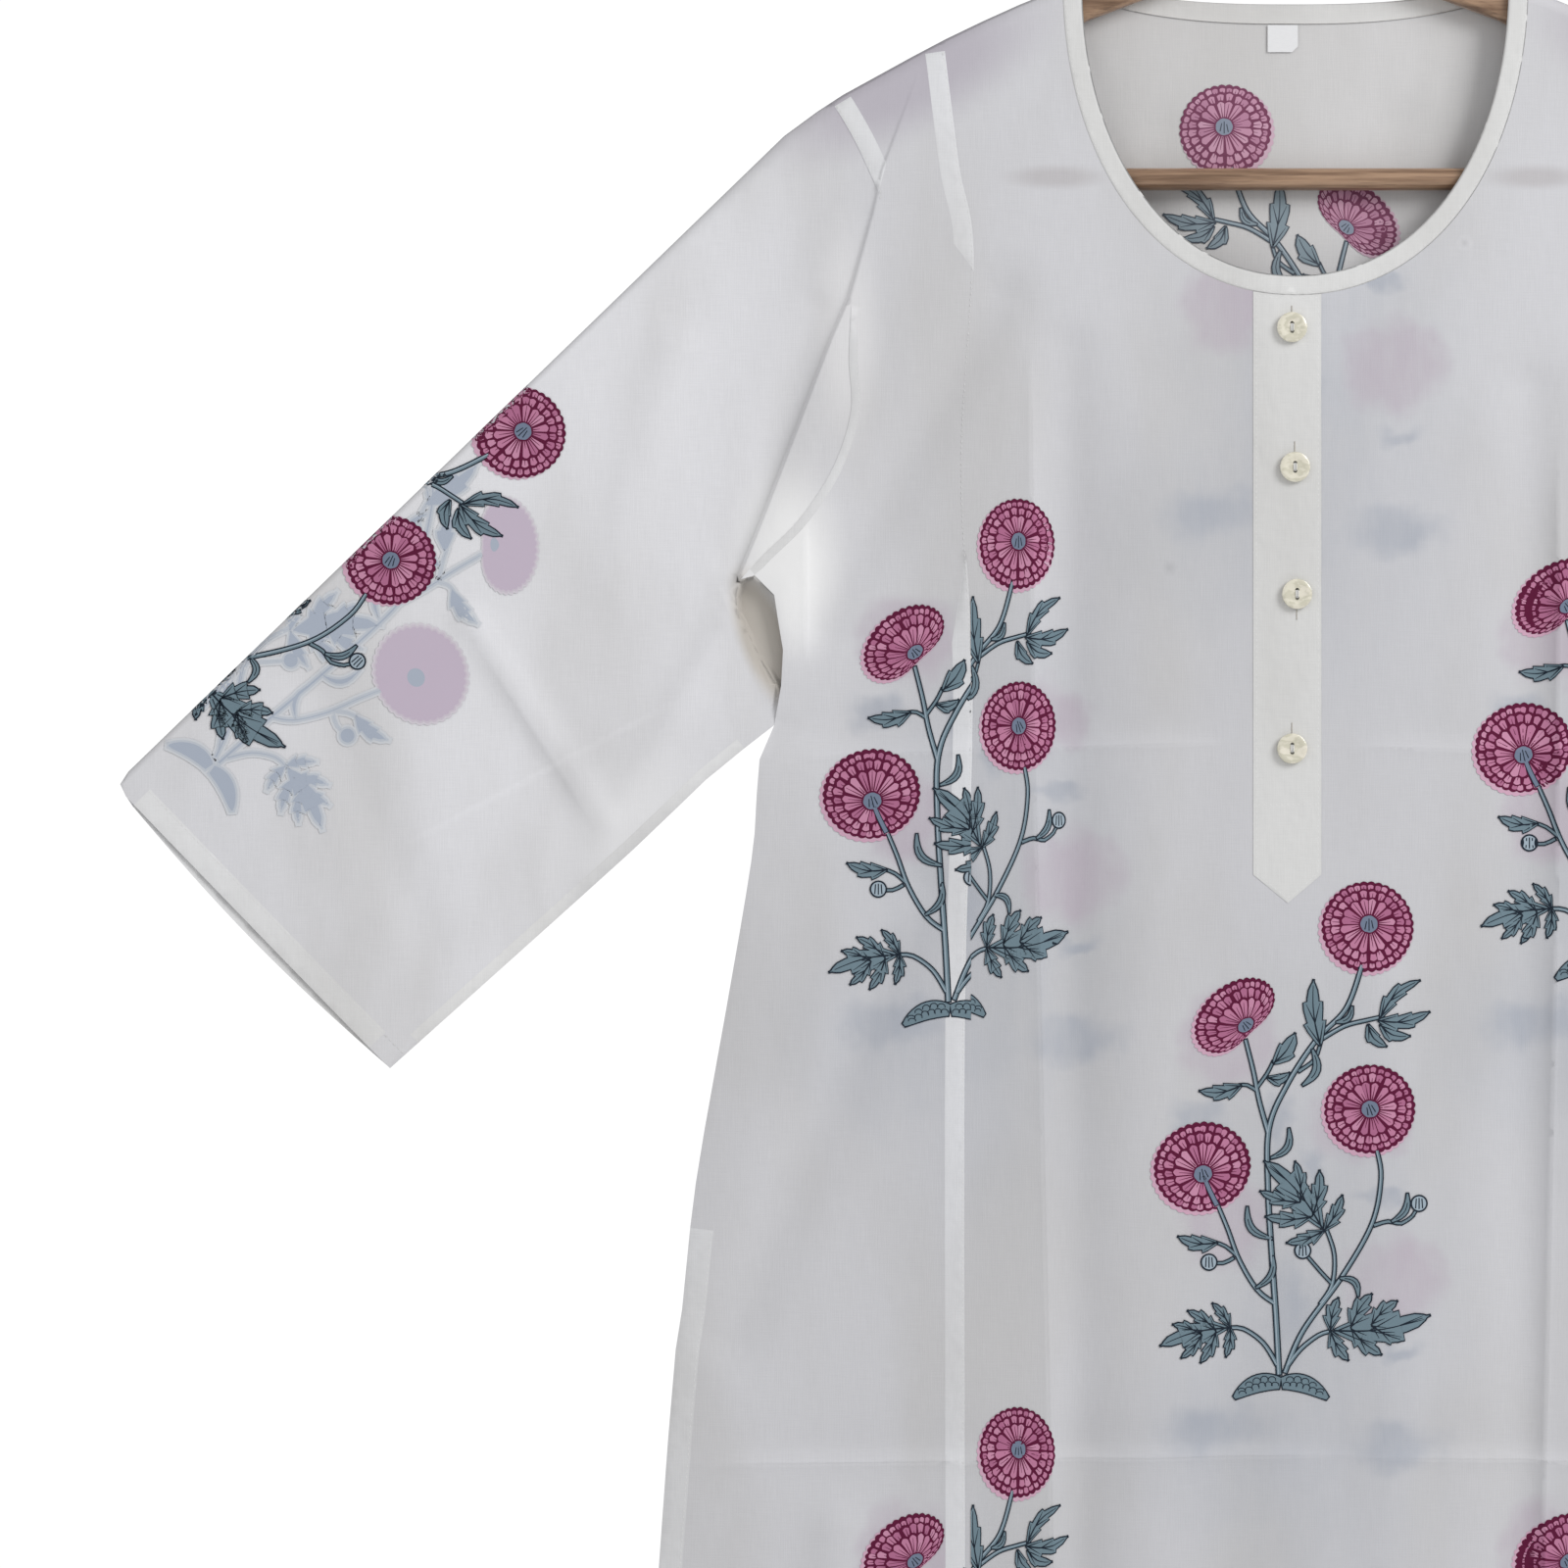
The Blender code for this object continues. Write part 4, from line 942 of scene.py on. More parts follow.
def cut_piece(outline, lines, step):
    """Triangulates a pattern piece whose mesh follows the given lines. Returns points and triangles."""
    border = np.array(outline, float)
    count = len(border)
    points = [tuple(p) for p in border]
    edges = [(i, (i + 1) % count) for i in range(count)]
    ring = [*points, points[0]]
    for line in lines:
        fine = np.array(spaced(line, step), float)
        kept = inside(border, fine) & (nearest(ring, fine)[0] > step * BORDER_CLEAR)
        for i, place in enumerate(fine):
            if kept[i]:
                if i and kept[i - 1]:
                    edges.append((len(points) - 1, len(points)))
                points.append(tuple(place))
    low, high = border.min(0), border.max(0)
    row_gap = step * ROW_SHARE
    columns, rows = np.meshgrid(
        np.arange(int((high[0] - low[0]) / step) + 2), np.arange(int((high[1] - low[1]) / row_gap) + 2)
    )
    grid = np.stack([low[0] + (columns + rows % 2 / 2) * step, low[1] + rows * row_gap], 2).reshape(-1, 2)
    grid = grid[inside(border, grid)]
    far = np.ones(len(grid), bool)
    taken = {}
    for x, z in points:
        taken.setdefault((int(x // step), int(z // step)), []).append((x, z))
    for k, (x, z) in enumerate(grid):
        cell = (int(x // step), int(z // step))
        close = [p for i in (-1, 0, 1) for j in (-1, 0, 1) for p in taken.get((cell[0] + i, cell[1] + j), ())]
        far[k] = all((x - p[0]) ** 2 + (z - p[1]) ** 2 > (POINT_CLEAR * step) ** 2 for p in close)
    points += [tuple(p) for p in grid[far]]
    result = delaunay_2d_cdt([Vector(p) for p in points], edges, [], 1, MERGE_WITHIN)
    return np.array([tuple(v) for v in result[0]]), np.array([tuple(f) for f in result[2]])


def facing(depth, flat):
    """The direction the cloth faces, towards -Y, from the slope of its depth."""
    here = depth(flat)
    slopes = [(depth(flat + np.array(step) * SLOPE_STEP) - here) / SLOPE_STEP for step in ((1, 0), (0, 1))]
    normal = np.stack([slopes[0], -np.ones(len(flat)), slopes[1]], 1)
    return normal / np.linalg.norm(normal, axis=1)[:, None]


def made_mesh(name, points, faces, materials, normals=None, slots=None):
    """A piece from points in millimetres, riding on the body."""
    mesh = bpy.data.meshes.new(name)
    mesh.from_pydata((np.array(points) * MM).tolist(), [], [tuple(int(i) for i in f) for f in faces])
    for look in materials:
        mesh.materials.append(look)
    if slots is not None:
        mesh.polygons.foreach_set("material_index", np.array(slots, np.int32))
    mesh.update()
    mesh.shade_smooth()
    if normals is not None:
        mesh.normals_split_custom_set_from_vertices(np.array(normals).tolist())
    piece = placed(name, mesh)
    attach(piece, "root")
    return piece


def placed(name, data):
    """A new object in the scene."""
    made = bpy.data.objects.new(name, data)
    bpy.context.scene.collection.objects.link(made)
    return made


def laid(depth, flat):
    return np.stack([flat[:, 0], depth(flat), flat[:, 1]], 1)


def wound(flat, faces, side):
    """The triangles turned so that they face the front (side 1) or the back (side -1)."""
    a, b, c = (flat[faces[:, i]] for i in range(3))
    turn = (b[:, 0] - a[:, 0]) * (c[:, 1] - a[:, 1]) - (b[:, 1] - a[:, 1]) * (c[:, 0] - a[:, 0])
    faces = faces[np.abs(turn) > LEAST_TURN]
    turn = turn[np.abs(turn) > LEAST_TURN]
    return np.where((turn * side > 0)[:, None], faces, faces[:, ::-1])


def rim_edges(faces):
    """The edges that one triangle uses, in its own direction."""
    edges = np.concatenate([faces[:, (0, 1)], faces[:, (1, 2)], faces[:, (2, 0)]])
    ends = np.sort(edges, 1)
    _, first, uses = np.unique(ends, axis=0, return_index=True, return_counts=True)
    return edges[first[uses == 1]]


class Cloth:
    """Shells of one piece, gathered before its mesh is made. side is 1 for the front layer of the tunic and
    -1 for its back layer."""

    def __init__(self):
        self.points, self.faces, self.normals, self.slots = [], [], [], []
        self.count = 0
        self.area = 0.0

    def add(self, outline, depth, side=1, lines=(), step=CLOTH_STEP, thick=CLOTH_THICK, bands=()):
        """One shell. Each band is the outline of a strip where the cloth lies double, a little proud."""
        if bands:
            depth = doubled_depth(depth, bands)
            rings = [ring for band in bands for ring in (closed(band), inset_ring(band, BAND_ROUND))]
            lines = [*lines, *rings]
        flat, faces = cut_piece(outline, lines, step)
        faces = wound(flat, faces, side)
        normal = facing(depth, flat) * side
        a, b, c = (flat[faces[:, i]] for i in range(3))
        self.area += abs(np.cross(b - a, c - a)).sum() / 2 * MM * MM
        outer = laid(depth, flat)
        inner = outer.copy()
        inner[:, 1] += side * np.clip(np.abs(outer[:, 1]) * (1 - INNER_SHARE), LEAST_THICK, thick)
        rim = rim_edges(faces)
        count = len(flat)
        walls = np.concatenate([rim[:, ::-1], rim[:, :1]], 1), np.concatenate([rim, rim[:, 1:]], 1)
        walls[0][:, 2] += count
        walls[1][:, 1:] += count
        walls[1][:, 1] = rim[:, 0] + count
        middle = flat[faces].mean(1)
        double = np.zeros(len(faces), int)
        for band in bands:
            double |= inside(band, middle)
        self.points += [outer, inner]
        self.normals += [normal, -normal]
        self.slots += [*double, *double, *np.zeros(2 * len(rim), int)]
        self.faces.append(np.concatenate([faces, faces[:, ::-1] + count, *walls]) + self.count)
        self.count += 2 * count

    def make(self, name, looks, *nodes):
        """The piece, standing for the solids' nodes, and its area."""
        points, normals = np.concatenate(self.points), np.concatenate(self.normals)
        piece = made_mesh(name, points, np.concatenate(self.faces), looks, normals, self.slots)
        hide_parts(*nodes)
        return piece, self.area


def offset(path, by):
    """The path moved to its left as drawn on a page."""
    places = np.array(path, float)
    run = np.gradient(places, axis=0)
    run /= np.linalg.norm(run, axis=1)[:, None]
    return [tuple(p) for p in places + np.stack([-run[:, 1], run[:, 0]], 1) * by]


def closed(outline):
    return [*outline, outline[0]]


def doubled_depth(depth, bands):
    """The depth of a panel that is proud of its own plane where its bands lie."""

    def with_bands(where, lift=0.0):
        rise = np.zeros(len(where))
        for band in bands:
            from_edge = nearest(closed(band), where)[0]
            band_rise = BAND_RISE * smooth_step(from_edge / BAND_ROUND)
            rise = np.where(inside(band, where), np.maximum(rise, band_rise), rise)
        return depth(where, lift + rise)

    return with_bands


def raised(depth, outline, height, round_over, pressed=False):
    """The depth of a patch on the cloth, "height" proud of it and rolled or pressed flat at its edge."""
    ring = closed(outline)

    def patch_depth(where, lift=0.0):
        from_edge = nearest(ring, where)[0]
        share = np.clip(from_edge / round_over, 0, 1)
        if pressed:
            rise = PRESSED_EDGE + (1 - PRESSED_EDGE) * smooth_step(share)
        else:
            rise = np.sqrt(1 - (1 - share) ** 2)
        return depth(where, lift + height * rise)

    return patch_depth


def inset_ring(outline, by):
    """The closed outline moved inward."""
    points = np.array(outline, float)
    before, after = np.roll(points, 1, 0), np.roll(points, -1, 0)
    area = np.sum(points[:, 0] * after[:, 1] - after[:, 0] * points[:, 1])
    sides = []
    for a, b in ((before, points), (points, after)):
        run = b - a
        run /= np.linalg.norm(run, axis=1)[:, None]
        sides.append(math.copysign(1, area) * np.stack([-run[:, 1], run[:, 0]], 1))
    middle = sides[0] + sides[1]
    share = np.maximum(np.sum(middle * middle, 1), SHARPEST_CORNER)
    moved = points + by * 2 * middle / share[:, None]
    return [tuple(p) for p in [*moved, moved[0]]]


# ---------------------------------------------------------------- the printed plant, in half millimetres


class Ink:
    """Flat shapes of one plant: triangles, each with its ink and how many inks lie under it. A plain one
    keeps only the outer shapes, each grown by "grow", in two inks whose names end in "edge"."""

    def __init__(self, grow, edge):
        self.rows = {}
        self.draw = np.random.default_rng(PLANT_SEED)
        self.grow, self.edge = grow, edge
        self.count = 0

    def add(self, corners, faces, ink, level):
        corners = np.array(corners, float)
        if self.grow is not None:
            self.count += 1
            over = GHOST_EYE_RISE if level == GHOST_EYE else self.count % GHOST_STEPS * GHOST_STEP
            ink, level = ink + self.edge, GHOST_LEVELS[self.edge] + over
        self.rows.setdefault((ink, level), []).append(corners[np.array(faces)])

    def ribbon(self, path, halves, ink, level, lean=0.0):
        """A strip along the path, "halves" wide each side, its edges carried forward by "lean" of that."""
        path, halves = np.array(path, float), np.array(halves, float)[:, None]
        run = np.gradient(path, axis=0)
        run /= np.maximum(np.linalg.norm(run, axis=1), SHORTEST_RUN)[:, None]
        across = np.stack([-run[:, 1], run[:, 0]], 1) * halves
        forward = run * halves * lean
        corners = np.concatenate([path + across + forward, path - across + forward])
        self.add(corners, quads(len(path)), ink, level)

    def stroke(self, path, halves, ink, level):
        if self.grow is None:
            self.ribbon(path, halves, ink, level)

    def inked(self, path, halves, fill, level, line=OUTLINE, lean=0.0):
        """A filled ribbon with a dark outline round it."""
        path = np.array(path, float)
        halves = np.array(halves, float)
        grown = line if self.grow is None else self.grow
        ends = path.copy()
        for end, before in ((0, 1), (-1, -2)):
            run = path[end] - path[before]
            ends[end] = path[end] + run / max(np.linalg.norm(run), SHORTEST_RUN) * grown
        self.ribbon(ends, halves + grown, "outline" if self.grow is None else "leaf_ghost", level, lean)
        if self.grow is None:
            self.ribbon(path, halves, fill, level + 1, lean)


def quads(count):
    """The triangles of a strip whose two edges have count corners each."""
    faces = []
    for i in range(count - 1):
        faces += [(i, i + 1, count + i + 1), (i, count + i + 1, count + i)]
    return faces


class Head:
    """A flower head's outline: where a place in its disc of radius 1 comes to lie. The eye may stand off its
    middle, as in a head seen from its side, and a notch draws its rim in at the foot."""

    def __init__(self, centre, radius, squash=(1.0, 1.0), turn=0.0, eye=(0.0, 0.0), notch=0.0):
        self.centre, self.radius = np.array(centre, float), radius
        self.squash, self.turn = np.array(squash), math.radians(turn)
        self.eye, self.notch = np.array(eye), notch

    def place(self, points):
        points = np.array(points, float)
        reach = np.linalg.norm(points, axis=1)[:, None]
        points = points + self.eye * (1 - reach)
        if self.notch:
            foot = np.arctan2(*self.eye[::-1])
            angle = np.arctan2(points[:, 1], points[:, 0]) - foot
            angle = (angle + math.pi) % (2 * math.pi) - math.pi
            points = points * (1 - self.notch * np.exp(-((angle / NOTCH_WIDTH) ** 2)))[:, None]
        points = points * self.squash * self.radius
        c, s = math.cos(self.turn), math.sin(self.turn)
        return points @ np.array([[c, s], [-s, c]]) + self.centre


def ring_of(ink, head, inner, outer, tint, level, lobes=0, slip=(0.0, 0.0)):
    """A ring, or a disc where inner is 0, with lobes round its rim."""
    steps = lobes * STEPS_IN_LOBE if lobes else ROUND_STEPS
    angles = np.linspace(0, 2 * math.pi, steps + 1)
    wave = np.zeros(steps + 1)
    if lobes:
        wave = LOBE_RISE * np.abs(np.sin(angles * lobes / 2)) - LOBE_RISE * LOBE_MIDDLE
    ray = np.stack([np.cos(angles), np.sin(angles)], 1)
    corners = head.place(np.concatenate([ray * max(inner, DISC_MIDDLE), ray * (outer + wave)[:, None]]))
    ink.add(corners + np.array(slip), quads(steps + 1), tint, level)


def flower(ink, row):
    """A many-petalled head: rings of petals over dark rings, so that their gaps are its lines."""
    head = Head(*row)
    if ink.grow is not None:
        head.radius += ink.grow
        ring_of(ink, head, 0.0, 1.0, "flower_ghost", 0, FLOWER_LOBES)
        if not ink.edge:
            ring_of(ink, head, 0.0, EYE_SHARE, "leaf_ghost", GHOST_EYE)
        return
    ring_of(ink, head, HALO_HOLE, HALO_RIM, "halo", 0, FLOWER_LOBES, HALO_SLIP)
    for k, ring in enumerate(PETAL_RINGS):
        petals = dict(zip(RING_COLUMNS, ring))
        level, count, inner = 1 + 2 * k, petals["count"], petals["inner"]
        ring_of(ink, head, inner * RING_INSET, petals["disc"], "maroon", level, count)
        slot = 2 * math.pi / count
        steps, shares = np.array(PETAL_SHAPES[petals["shape"]]).T
        for i in range(count):
            angle = slot * (i + 0.5) + ink.draw.uniform(-PETAL_SWING, PETAL_SWING) * slot
            outer = petals["outer"] * ink.draw.uniform(*PETAL_ENDS)
            reach = inner + (outer - inner) * steps
            halves = shares * reach[PETAL_WIDEST] * slot / 2 - petals["line"] * ink.draw.uniform(*LINE_VARIES)
            halves = np.clip(halves, LEAST_PETAL, reach * slot / 2 * PETAL_ROOM)
            ray = np.array([math.cos(angle), math.sin(angle)])
            side = np.array([-ray[1], ray[0]])
            petal = np.concatenate([reach[:, None] * ray + halves[:, None] * side * s for s in (1, -1)])
            tint = PETAL_TINTS[int(ink.draw.integers(len(PETAL_TINTS)))]
            ink.add(head.place(petal), quads(len(reach)), tint, level + 1)
            low = inner + (outer - inner) * MARK_FOOT
            high = inner + (outer - inner) * petals["mark"] * ink.draw.uniform(*MARK_VARIES)
            ends = ((MARK_HALF, low), (MARK_TIP, high), (-MARK_HALF, low), (-MARK_TIP, high))
            mark = [ray * r + side * w for w, r in ends]
            ink.add(head.place(mark), quads(2), "maroon", level + MARK_LEVEL)
    squash, turn = row[2:4]
    eye = Head(head.place([(0.0, 0.0)])[0], head.radius * EYE_SHARE, squash, turn)
    for outer, tint, level, lobes in EYE_RINGS:
        ring_of(ink, eye, 0.0, outer, tint, level, lobes)
    for x, low, high in EYE_STROKES:
        stroke = eye.place([(x, low), (x * EYE_STROKE_DRAW, high)])
        ink.stroke(stroke, EYE_STROKE_HALVES, "outline", EYE_STROKE_LEVEL)


def leaf(ink, stalk, tip, half, teeth, bend, level, depth, lean):
    """A leaf from its stalk to its tip with teeth along both edges, a midrib and a vein to each tooth."""
    stalk, tip = np.array(stalk, float), np.array(tip, float)
    run = tip - stalk
    length = np.linalg.norm(run)
    across = np.array([-run[1], run[0]]) / length
    shares, halves = [0.0], [LEAF_FOOT]
    for i in range(teeth):
        for t in TOOTH_CORNERS:
            share = (i + t) / teeth
            swell = math.sin(math.pi * min(share, LEAF_END) ** LEAF_BELLY) ** LEAF_FULLNESS
            shares.append(share * LEAF_TOOTHED)
            halves.append(max(swell * (1 - depth * (1 - t) if t < 1 else 1 - depth), LEAST_LEAF))
    shares, halves = np.array([*shares, 1.0]), np.array([*halves, LEAF_TIP]) * half
    path = stalk + run * shares[:, None] + across * (bend * length * np.sin(math.pi * shares))[:, None]
    ink.inked(path, halves, "teal", level, lean=lean)
    for i in range(teeth):
        for side in (1, -1):
            from_to = [(i + share) / teeth * LEAF_TOOTHED for share in (VEIN_FROM, VEIN_TO)]
            first, last = np.interp(from_to, shares, range(len(shares)))
            start = path[int(first)]
            k = min(round(last), len(path) - 2)
            flow = path[k + 1] - path[k - 1]
            flow = flow / max(np.linalg.norm(flow), SHORTEST_RUN)
            end = path[k] + (np.array([-flow[1], flow[0]]) * side + flow * lean) * halves[k] * VEIN_REACH
            if halves[k] > VEINED_HALF:
                ink.stroke([start, (start + end) / 2, end], VEIN_HALVES, "outline", level + 2)
    ink.stroke(path[:-2], np.linspace(*MIDRIB_HALVES, len(path) - 2), "outline", level + 2)


def lobed_leaf(ink, stalk, tip, spread):
    """A deeply cut leaf: pairs of toothed lobes along a midrib and one at its end."""
    stalk, tip = np.array(stalk, float), np.array(tip, float)
    run = tip - stalk
    length = np.linalg.norm(run)
    for share, turn, size in LEAF_LOBES:
        root = stalk + run * share
        angle = math.radians(turn)
        c, s = math.cos(angle), math.sin(angle)
        way = np.array([run[0] * c - run[1] * s, run[0] * s + run[1] * c]) * size
        if turn:
            way = way * spread
        half, bend = LOBE_HALF * length * size, LOBE_BEND if turn > 0 else -LOBE_BEND
        leaf(ink, root, root + way, half, LOBE_TEETH, bend, LEAF_LEVEL, LOBE_DEPTH, LOBE_LEAN)


def stem(ink, points, half):
    """A stem that thins towards its tip. The thicker ones have a lighter line along them."""
    path = curved(points, STEM_STEP)
    halves = np.linspace(half, half * STEM_TAPER, len(path))
    ink.inked(path, halves, "teal", STEM_LEVEL)
    if half > SHINY_HALF:
        shine = np.array(offset(path, half * SHINE_SHARE))
        ink.stroke(shine, halves * SHINE_SHARE, "teal_light", STEM_LEVEL + 2)


def hook(ink, foot, tip, bend, half):
    """A small curled leaf."""
    foot, tip = np.array(foot, float), np.array(tip, float)
    run = tip - foot
    across = np.array([-run[1], run[0]])
    shares = np.linspace(0, 1, HOOK_POINTS)
    path = foot + run * shares[:, None] + across * bend * np.sin(math.pi * shares)[:, None]
    halves = half * np.sin(math.pi * np.clip(shares, *HOOK_ENDS)) ** HOOK_FULLNESS
    ink.inked(path, halves, "teal", HOOK_LEVEL)
    rib = path[1:-2]
    ink.stroke(rib, np.full(len(rib), HOOK_RIB), "outline", HOOK_LEVEL + 2)


def bud(ink, foot, centre, radius):
    """A striped ball on a short bent stalk."""
    elbow = ((foot[0] + centre[0]) / 2 + BUD_ELBOW[0], (foot[1] + centre[1]) / 2 + BUD_ELBOW[1])
    stem(ink, [foot, elbow, centre], BUD_STALK)
    ball = Head(centre, radius)
    if ink.grow is not None:
        ring_of(ink, ball, 0.0, 1.0 + ink.grow / radius, "leaf_ghost", BUD_LEVEL)
        return
    ring_of(ink, ball, 0.0, BUD_RIM, "outline", BUD_LEVEL)
    ring_of(ink, ball, 0.0, BUD_FACE, "teal_light", BUD_LEVEL + 1)
    for x in BUD_STRIPES:
        reach = math.sqrt(1 - x * x) * BUD_STRIPE_REACH
        stripe = ball.place([(x, -reach), (x * BUD_STRIPE_DRAW, reach)])
        ink.stroke(stripe, [BUD_STRIPE_HALF] * 2, "outline", BUD_LEVEL + 2)


def mound(ink):
    """The low double hump of scales that the plant stands on."""
    for side in (-1, 1):
        shares = np.linspace(0, 1, MOUND_POINTS)
        heights = MOUND_FOOT + MOUND_ARCH * np.sin(math.pi * shares) - MOUND_DROP * shares**2
        path = np.stack([side * (MOUND_FROM + MOUND_LENGTH * shares), heights], 1)
        swell = np.clip(MOUND_SWELL[0] + shares * MOUND_SWELL[1], 0, LEAF_END)
        halves = MOUND_HALF * np.sin(math.pi * swell) ** MOUND_FULLNESS
        ink.inked(path, halves, "teal", MOUND_LEVEL)
        if ink.grow is not None:
            continue
        for row, (low, count) in enumerate(SCALE_ROWS):
            for i in range(count):
                at = (i + SCALE_FIRST + SCALE_SHIFT * row) / (count + 1) * (len(path) - 1)
                middle = np.array([np.interp(at, range(len(path)), path[:, k]) for k in (0, 1)])
                wide = float(np.interp(at, range(len(path)), halves))
                angles = np.radians(np.linspace(*SCALE_TURN, SCALE_POINTS))
                rises = low * wide + wide * SCALE_TALL * np.sin(angles)
                arch = middle + np.stack([SCALE_WIDE * np.cos(angles), rises], 1)
                ink.stroke(arch, np.full(SCALE_POINTS, SCALE_LINE), "outline", MOUND_LEVEL + 2)


def draw_plant(grow=None, edge=""):
    """The whole plant, its foot at the origin and growing up."""
    ink = Ink(grow, edge)
    for points, half in STEMS:
        stem(ink, points, half)
    for row in LOBED_LEAVES:
        lobed_leaf(ink, *row)
    for row in LEAVES:
        leaf(ink, *row)
    for row in HOOKS:
        hook(ink, *row)
    for row in BUDS:
        bud(ink, *row)
    mound(ink)
    for row in FLOWERS:
        flower(ink, row)
    if grow is None:
        ink.inked(OVER_STEM, OVER_STEM_HALVES, "eye", OVER_STEM_LEVEL, OVER_STEM_LINE)
    return ink


def split_long(triangles, longest):
    """Halves triangles at their longest edge until none has an edge longer than that."""
    done = []
    while len(triangles):
        edges = np.roll(triangles, -1, 1) - triangles
        lengths = np.hypot(edges[..., 0], edges[..., 1])
        worst = lengths.argmax(1)
        long = lengths[np.arange(len(triangles)), worst] > longest
        done.append(triangles[~long])
        rest, at = triangles[long], worst[long]
        k = np.arange(len(rest))
        a, b, c = rest[k, at], rest[k, (at + 1) % 3], rest[k, (at + 2) % 3]
        middle = (a + b) / 2
        triangles = np.concatenate([np.stack([a, middle, c], 1), np.stack([middle, b, c], 1)])
    return np.concatenate(done)


def clipped(triangles, point, normal):
    """What lies on the side of a line that its normal points to."""
    high = (triangles - np.array(point)) @ np.array(normal)
    keep = [triangles[(high >= 0).all(1)]]
    across = (high.max(1) > 0) & (high.min(1) < 0)
    for triangle, heights in zip(triangles[across], high[across]):
        corners = []
        for i in range(3):
            j = (i + 1) % 3
            if heights[i] >= 0:
                corners.append(triangle[i])
            if heights[i] * heights[j] < 0:
                run = triangle[j] - triangle[i]
                corners.append(triangle[i] + run * heights[i] / (heights[i] - heights[j]))
        for i in range(1, len(corners) - 1):
            keep.append(np.array([[corners[0], corners[i], corners[i + 1]]]))
    return np.concatenate(keep)


def crease_line(row):
    """A crease's two ends and the direction across it."""
    crease = dict(zip(CREASE_COLUMNS, row))
    across = np.array([crease["z1"] - crease["z0"], crease["x0"] - crease["x1"]])
    return crease_ends(crease), tuple(across / np.linalg.norm(across))


class Print:
    """The printed shapes on one face of the cloth, gathered before their mesh is made."""

    def __init__(self, where, depth, side=1.0, lift=PRINT_LIFT, creases=()):
        self.depth, self.side, self.lift = depth, side, lift
        self.step, self.crease_step = PRINT_STEPS[where]
        self.creases = [crease_line(row) for row in creases]
        self.rows = []

    def stamp(self, plant, place, along=(0.0, 1.0), flip=1.0, cuts=()):
        """One plant, its foot at place and growing towards "along". Cuts are lines that it stops at. A flip
        of -1 mirrors it, and less than 1 narrows it."""
        up = np.array(along, float)
        right = np.array([up[1], -up[0]]) * flip
        for (ink, level), groups in plant.rows.items():
            triangles = np.concatenate(groups) * PRINT_SCALE
            flat = triangles[..., :1] * right + triangles[..., 1:] * up + np.array(place)
            for point, normal in cuts:
                flat = clipped(flat, point, normal)
            if len(flat):
                self.rows.append((ink, level, self.fitted(flat)))

    def fitted(self, flat):
        """The triangles split until they follow the cloth, and parted along each crease that they reach."""
        flat = split_long(flat, self.step)
        for ends, normal in self.creases:
            near = nearest(ends, flat.mean(1))[0] < CREASE_REACH
            if near.any():
                close = split_long(flat[near], self.crease_step)
                far = (-normal[0], -normal[1])
                sides = [clipped(close, ends[0], way) for way in (normal, far)]
                flat = np.concatenate([flat[~near], *sides])
        return flat

    def make(self, name, inks):
        names = list(inks)
        points, faces, slots, normals = [], [], [], []
        count = 0
        for ink, level, triangles in self.rows:
            corners = np.round(triangles.reshape(-1, 2), SAME_POINT_DIGITS)
            flat, index = np.unique(corners, axis=0, return_inverse=True)
            index = index.reshape(-1)
            rise = self.lift + level * PRINT_LEVEL
            depths = self.depth(flat, rise * self.side)
            points.append(np.stack([flat[:, 0], depths, flat[:, 1]], 1))
            normals.append(facing(self.depth, flat) * math.copysign(1, self.side) * PRINT_FACING[self.depth])
            corners = wound(flat, index.reshape(-1, 3), PRINT_FACING[self.depth] * self.side)
            faces.append(corners + count)
            slots += [names.index(ink)] * len(corners)
            count += len(flat)
        points, faces, normals = (np.concatenate(rows) for rows in (points, faces, normals))
        return made_mesh(name, points, faces, list(inks.values()), normals, slots)


# ---------------------------------------------------------------- looks


def srgb(r, g, b):
    """A colour from 0 to 255 as a viewer names it, in the linear values that a shader takes."""
    return tuple(((c / 255 + 0.055) / 1.055) ** 2.4 if c > 10 else c / 255 / 12.92 for c in (r, g, b))


